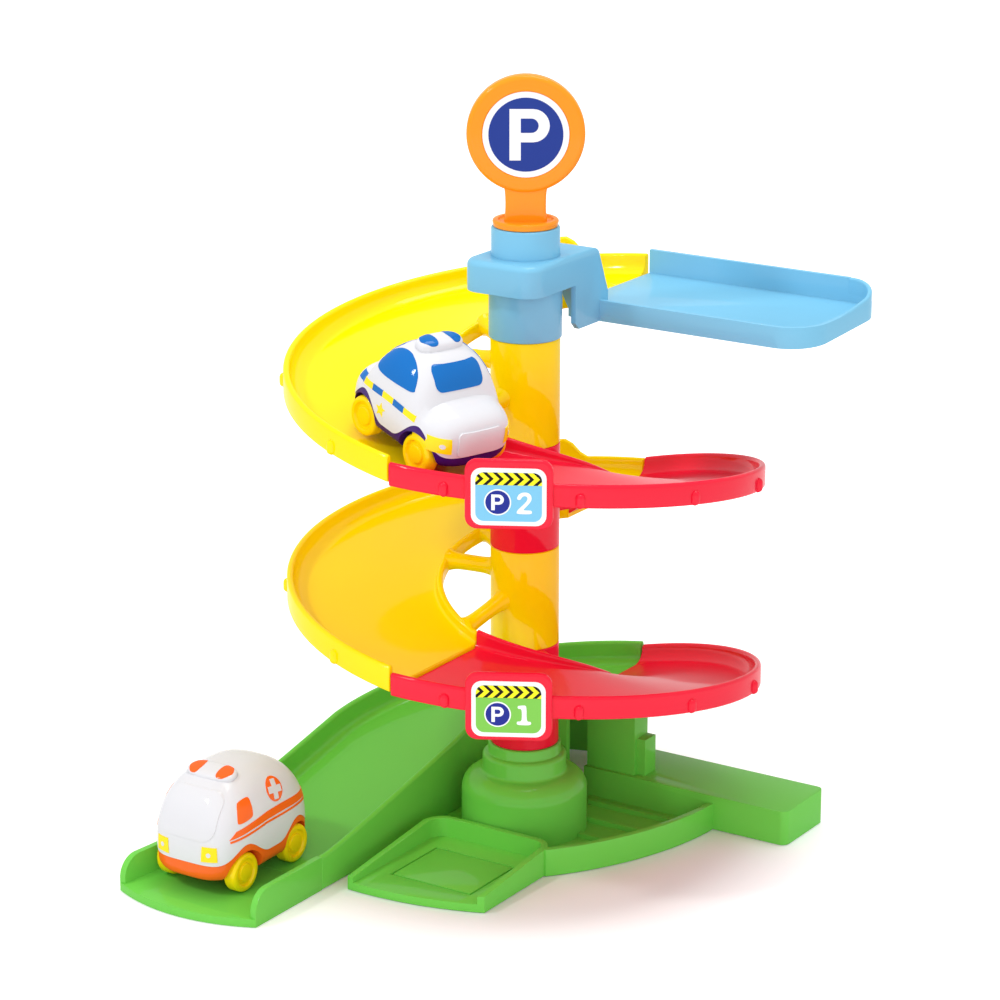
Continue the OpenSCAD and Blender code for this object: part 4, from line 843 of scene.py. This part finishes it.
def square_lamp(car, form, side, span, rise, place, body):
    """A square headlamp that wraps a front corner, with a pale bulb in its middle."""
    (near, far), (low, high) = span, rise
    glass = [(side * y, z) for y, z in ((near, low), (far, low + 0.5), (far - 0.4, high), (near + 0.6, high))]
    tool = front_prism("lamp", glass, 20, 47)
    inlay(f"{car}_lamp_{side + 2}", form, tool, LAMP_LIFT, place, lamp_yellow, body)
    bulb = arc(side * (near + far) / 2, (low + high) / 2, 1.4, 1.4, 0, 345, 23)
    tool = front_prism("bulb", bulb, 20, 47)
    inlay(f"{car}_bulb_{side + 2}", form, tool, BULB_LIFT, place, white, body)


lamp_yellow = plastic("lamp_yellow", "wheel", ink(252, 222, 20), 0.2)
wheel_yellow = plastic("wheel_yellow", "wheel", ink(255, 218, 12))

# Ambulance: the egg-shaped car on the exit apron, white over an orange chassis, with orange side
# windows, two rising stripes, a white cross on an orange disc and orange roof lenses.
VAN_ROOF, VAN_DIP, VAN_LAMP_SPAN, VAN_LAMP_RISE = 70, 20.5, (12, 22), (23, 32.4)
SCREEN_W, SCREEN_H, SCREEN_CORNER_R, SCREEN_Z, SCREEN_LIFT = 40, 27, 8, 49, 0.45
VAN_BAR_HALF_W, VAN_BAR_X, VAN_BAR_Z, VAN_BAR_H, VAN_BAR_TILT = 17, 16.5, 67.4, 2.8, 13
CROSS_X, CROSS_Z, CROSS_DISC_R, CROSS_ARM, CROSS_BAR, CROSS_TURN = -6.6, 54, 7.2, 5.7, 1.9, 8
van_place = car_place("van")
van_orange = plastic("van_orange", "tangerine", ink(246, 104, 28))
van_form = car_body("van_form", lambda x: (VAN_ROOF - CAR_SEAM) * swell(x, 2.5))
shell_and_chassis("van", van_form, VAN_DIP, van_place, "van", van_orange)


def van_mark(name, outline, lift, material):
    """A mark in the same place on both sides of the ambulance."""
    for word, near, far in (("right", -40, -8), ("left", 8, 40)):
        tool = side_prism("mark", outline, near, far)
        inlay(f"van_{name}_{word}", van_form, tool, lift, van_place, material, "van")


window = smooth_outline([(26.2, 56), (16.2, 57.6), (17.2, 45.4), (30.8, 43.6)], 3, 0.13)
van_mark("window", window, INLAY, van_orange)
stripe = [(37, 36.3), (20, 38.4), (6, 39.5), (-12, 39.8), (-30, 39.2), (-44, 38.4)]
stripe += [(-44, 43), (-27, 43.8), (-10, 44.6), (5, 44.2), (20, 42.4), (32, 40.5)]
van_mark("stripe", stripe, INLAY, van_orange)
line = [(36.6, 34.2), (6.6, 37.2), (-26.7, 37.2), (-44, 36.4)]
van_mark("line", line + [(x, z + 1.3) for x, z in reversed(line)], INLAY, van_orange)
van_mark("disc", arc(CROSS_X, CROSS_Z, CROSS_DISC_R, CROSS_DISC_R, 0, 352.5, 47), INLAY, van_orange)
arm, bar = CROSS_ARM, CROSS_BAR
cross = [(-bar, -arm), (bar, -arm), (bar, -bar), (arm, -bar), (arm, bar), (bar, bar)]
cross += [(bar, arm), (-bar, arm), (-bar, bar), (-arm, bar), (-arm, -bar), (-bar, -bar)]
along, rise = math.cos(math.radians(CROSS_TURN)), math.sin(math.radians(CROSS_TURN))
cross = [(CROSS_X + x * along - z * rise, CROSS_Z + x * rise + z * along) for x, z in cross]
van_mark("cross", cross, 2 * INLAY, white)
for side in (-1, 1):
    square_lamp("van", van_form, side, VAN_LAMP_SPAN, VAN_LAMP_RISE, van_place, "van")
screen = [(y, z + SCREEN_Z) for y, z in rounded_rect(SCREEN_W, SCREEN_H, SCREEN_CORNER_R)]
tool = front_prism("screen", screen, 10, 47)
inlay("van_windscreen", van_form, tool, SCREEN_LIFT, van_place, white, "van")
lens_orange = plastic("lens_orange", "tangerine", ink(246, 100, 26), 0.15)
van_bar = (VAN_BAR_HALF_W, VAN_BAR_X, VAN_BAR_Z, VAN_BAR_H, VAN_BAR_TILT)
beacon("van", *van_bar, van_place, "van", lens_orange)
bpy.data.objects.remove(van_form)
wheel_pair("van", 1, van_place, "van_front", wheel_yellow)
wheel_pair("van", -1, van_place, "van_rear", wheel_yellow)

# Patrol car: the saloon on the upper lane, white over a purple chassis, with blue windows, a
# checked stripe, a star on each side, yellow lamps and blue roof lenses.
PATROL_ROOF, PATROL_BONNET, PATROL_DIP = 65, 43, 17
PATROL_BAR_HALF_W, PATROL_BAR_X, PATROL_BAR_Z, PATROL_BAR_H, PATROL_BAR_TILT = 15.4, -3, 64.6, 5, 0
CHECKS, CHECK_FRONT, CHECK_LEN, CHECK_H, CHECK_Z, CHECK_CURVE = 6, 22, 10, 3.8, 33.6, 0.0022
STAR_X, STAR_Z, STAR_R, STAR_INNER_R = -7.5, 25.4, 4.4, 2
PATROL_LAMP_SPAN, PATROL_LAMP_RISE = (19, 29.4), (19.8, 29)
GLASS_W, GLASS_H, GLASS_CORNER_R, GLASS_Z = 34, 13, 4, 54
PANEL_W, PANEL_H, PANEL_CORNER_R, PANEL_Z, PANEL_LIFT = 31, 14.5, 3, 25, 0.9
patrol_place = car_place("patrol")
purple = plastic("purple_plastic", "purple", ink(58, 20, 108))
window_blue = plastic("window_blue", "lens_blue", ink(4, 104, 182), 0.2)


def patrol_top(x):
    """Top line of the saloon: a low bonnet blended into a rounded cabin."""
    bonnet = (PATROL_BONNET - CAR_SEAM) * swell(x, 3.4)
    cabin = (PATROL_ROOF - CAR_SEAM) * swell((x + 0.06) / 0.62, 2.4)
    return min(PATROL_ROOF - CAR_SEAM, (bonnet**7 + cabin**7) ** (1 / 7))


patrol_form = car_body("patrol_form", patrol_top)
shell_and_chassis("patrol", patrol_form, PATROL_DIP, patrol_place, "patrol_car", purple)


def patrol_mark(name, outline, material):
    """A mark in the same place on both sides of the patrol car."""
    for word, near, far in (("right", -40, -6), ("left", 6, 40)):
        tool = side_prism("mark", outline, near, far)
        inlay(f"patrol_{name}_{word}", patrol_form, tool, INLAY, patrol_place, material, "patrol_car")


window = [(15, 46.3), (15, 46.3), (11.5, 55), (2, 61), (-9, 62), (-18.5, 58), (-22.5, 50.5), (-20, 45)]
patrol_mark("window", smooth_outline(window, 3), window_blue)
for number in range(CHECKS):
    front = CHECK_FRONT - CHECK_LEN * number
    check = [(x, CHECK_Z - CHECK_CURVE * (x + 8) ** 2) for x in (front, front - CHECK_LEN)]
    check += [(x, z + CHECK_H) for x, z in reversed(check)]
    patrol_mark(f"check_{number + 1}", check, lamp_yellow if number % 2 == 0 else window_blue)
star = []
for number in range(10):
    angle, reach = math.radians(90 + 36 * number), (STAR_R, STAR_INNER_R)[number % 2]
    star.append((STAR_X + reach * math.cos(angle), STAR_Z + reach * math.sin(angle)))
patrol_mark("star", star, lamp_yellow)
for side in (-1, 1):
    square_lamp("patrol", patrol_form, side, PATROL_LAMP_SPAN, PATROL_LAMP_RISE, patrol_place, "patrol_car")
screen = [(y, z + GLASS_Z) for y, z in rounded_rect(GLASS_W, GLASS_H, GLASS_CORNER_R)]
for word, near, far in (("windscreen", 5, 44), ("rear_window", -44, -16)):
    tool = front_prism("screen", screen, near, far)
    inlay("patrol_" + word, patrol_form, tool, INLAY, patrol_place, window_blue, "patrol_car")
panel = [(y, z + PANEL_Z) for y, z in rounded_rect(PANEL_W, PANEL_H, PANEL_CORNER_R)]
tool = front_prism("panel", panel, 25, 47)
inlay("patrol_front_panel", patrol_form, tool, PANEL_LIFT, patrol_place, white, "patrol_car")
patrol_bar = (PATROL_BAR_HALF_W, PATROL_BAR_X, PATROL_BAR_Z, PATROL_BAR_H, PATROL_BAR_TILT)
beacon("patrol", *patrol_bar, patrol_place, "patrol_car", window_blue)
bpy.data.objects.remove(patrol_form)
wheel_pair("patrol", 1, patrol_place, "patrol_front", wheel_yellow)
wheel_pair("patrol", -1, patrol_place, "patrol_rear", wheel_yellow)

# Axles and screws of the cars: plated steel pins that join each pair of wheels through the chassis,
# and small screws that hold each shell on from below. All are hidden by wheels and chassis.
for car in ("patrol", "van"):
    for node in ("_front_axle", "_rear_axle", "_screws"):
        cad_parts[car + node].data.materials.clear()
        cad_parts[car + node].data.materials.append(steel_finish)

# Floor, light and camera: a seamless pale floor, a soft key from the upper left, a low fill from
# the front, a top light, and the photograph's high three-quarter view through a long lens.
CAMERA_TURN, CAMERA_RISE, FOCAL_PX, PX_PER_MM, PICTURE_PX, SENSOR_W = 33, 17, 3500, 1.65, 1000, 36
FLOOR_TONE, SOFT_LIGHT = (0.86, 0.86, 0.86, 1), 0.88
VIEW_SHIFT_X, VIEW_Z = -15.16, 214.67
bpy.ops.object.select_all(action="DESELECT")
bpy.ops.mesh.primitive_plane_add(size=30, location=(0, 0, -0.0005))
floor = bpy.context.object
floor.name = "floor"
floor_paint = bpy.data.materials.new("floor_paint")
floor_paint.use_nodes = True
tree = floor_paint.node_tree
shader = tree.nodes["Principled BSDF"]
shader.inputs["Roughness"].default_value = 0.7
shader.inputs["Base Color"].default_value = FLOOR_TONE
place = Wire(tree, tree.nodes.new("ShaderNodeTexCoord").outputs["Object"])


def background_rays(tree):
    """One where the camera, a mirror image or clear plastic shows the background, else zero."""
    path = tree.nodes.new("ShaderNodeLightPath")
    kinds = [Wire(tree, path.outputs[f"Is {kind} Ray"]) for kind in ("Camera", "Glossy", "Transmission")]
    return kinds[0].sum("MAXIMUM", kinds[0].sum("MAXIMUM", kinds[0], kinds[1]), kinds[2])


# The floor's glow is painted brightness. It is zero near the middle and rises with distance from the object,
# so the floor round and under the object is left darker.
away = place.node("ShaderNodeVectorMath", {"operation": "LENGTH"}, {0: place}, 1)
near = {"Value": away, "From Min": 0.12, "From Max": 0.2, "To Max": 0.3}
far = {"Value": away, "From Min": 0.25, "From Max": 0.7, "To Max": 0.2}
glow = away.node("ShaderNodeMapRange", {"interpolation_type": "SMOOTHSTEP"}, near)
glow = glow + away.node("ShaderNodeMapRange", {"interpolation_type": "SMOOTHSTEP"}, far)
tone = (glow * background_rays(tree)).mix((0, 0, 0, 1), (1, 1, 1, 1))
tree.links.new(tone.socket, shader.inputs["Emission Color"])
shader.inputs["Emission Strength"].default_value = 1.0
floor.data.materials.append(floor_paint)

world = bpy.data.worlds.new("studio")
bpy.context.scene.world = world
world.use_nodes = True
tree = world.node_tree
backdrop = tree.nodes["Background"]
strength = background_rays(tree) * (1 - SOFT_LIGHT) + SOFT_LIGHT
tree.links.new(strength.socket, backdrop.inputs["Strength"])
backdrop.inputs["Color"].default_value = (1, 1, 1, 1)


def soft_box(name, place, aim, size, watts):
    """A square soft light that points from its place to its aim, in metres."""
    bpy.ops.object.light_add(type="AREA", location=place)
    lamp = bpy.context.object
    lamp.name = name
    lamp.data.size = size
    lamp.data.energy = watts
    lamp.rotation_euler = (Vector(aim) - Vector(place)).to_track_quat("-Z", "Y").to_euler()
    return lamp


soft_box("key", (-0.9, -1.5, 1.9), (0, 0, 0.2), 0.25, 12)
soft_box("fill", (1.2, -1.7, 0.7), (0, 0, 0.15), 1.2, 9).visible_glossy = False
soft_box("top", (0.1, 0.3, 2.2), (0, 0, 0.2), 0.9, 15)

view_turn, view_rise = math.radians(CAMERA_TURN), math.radians(CAMERA_RISE)
right = Vector((math.cos(view_turn), math.sin(view_turn), 0))
back = Vector((math.sin(view_turn), -math.cos(view_turn), math.tan(view_rise))).normalized()
aim = right * VIEW_SHIFT_X * MM + Vector((0, 0, VIEW_Z * MM))
bpy.ops.object.camera_add(location=aim + back * (FOCAL_PX / PX_PER_MM) * MM)
camera = bpy.context.object
camera.data.sensor_width = SENSOR_W
camera.data.lens = SENSOR_W * FOCAL_PX / PICTURE_PX
camera.rotation_euler = (-back).to_track_quat("-Z", "Y").to_euler()
bpy.context.scene.camera = camera
bpy.context.scene.view_settings.view_transform = "Standard"
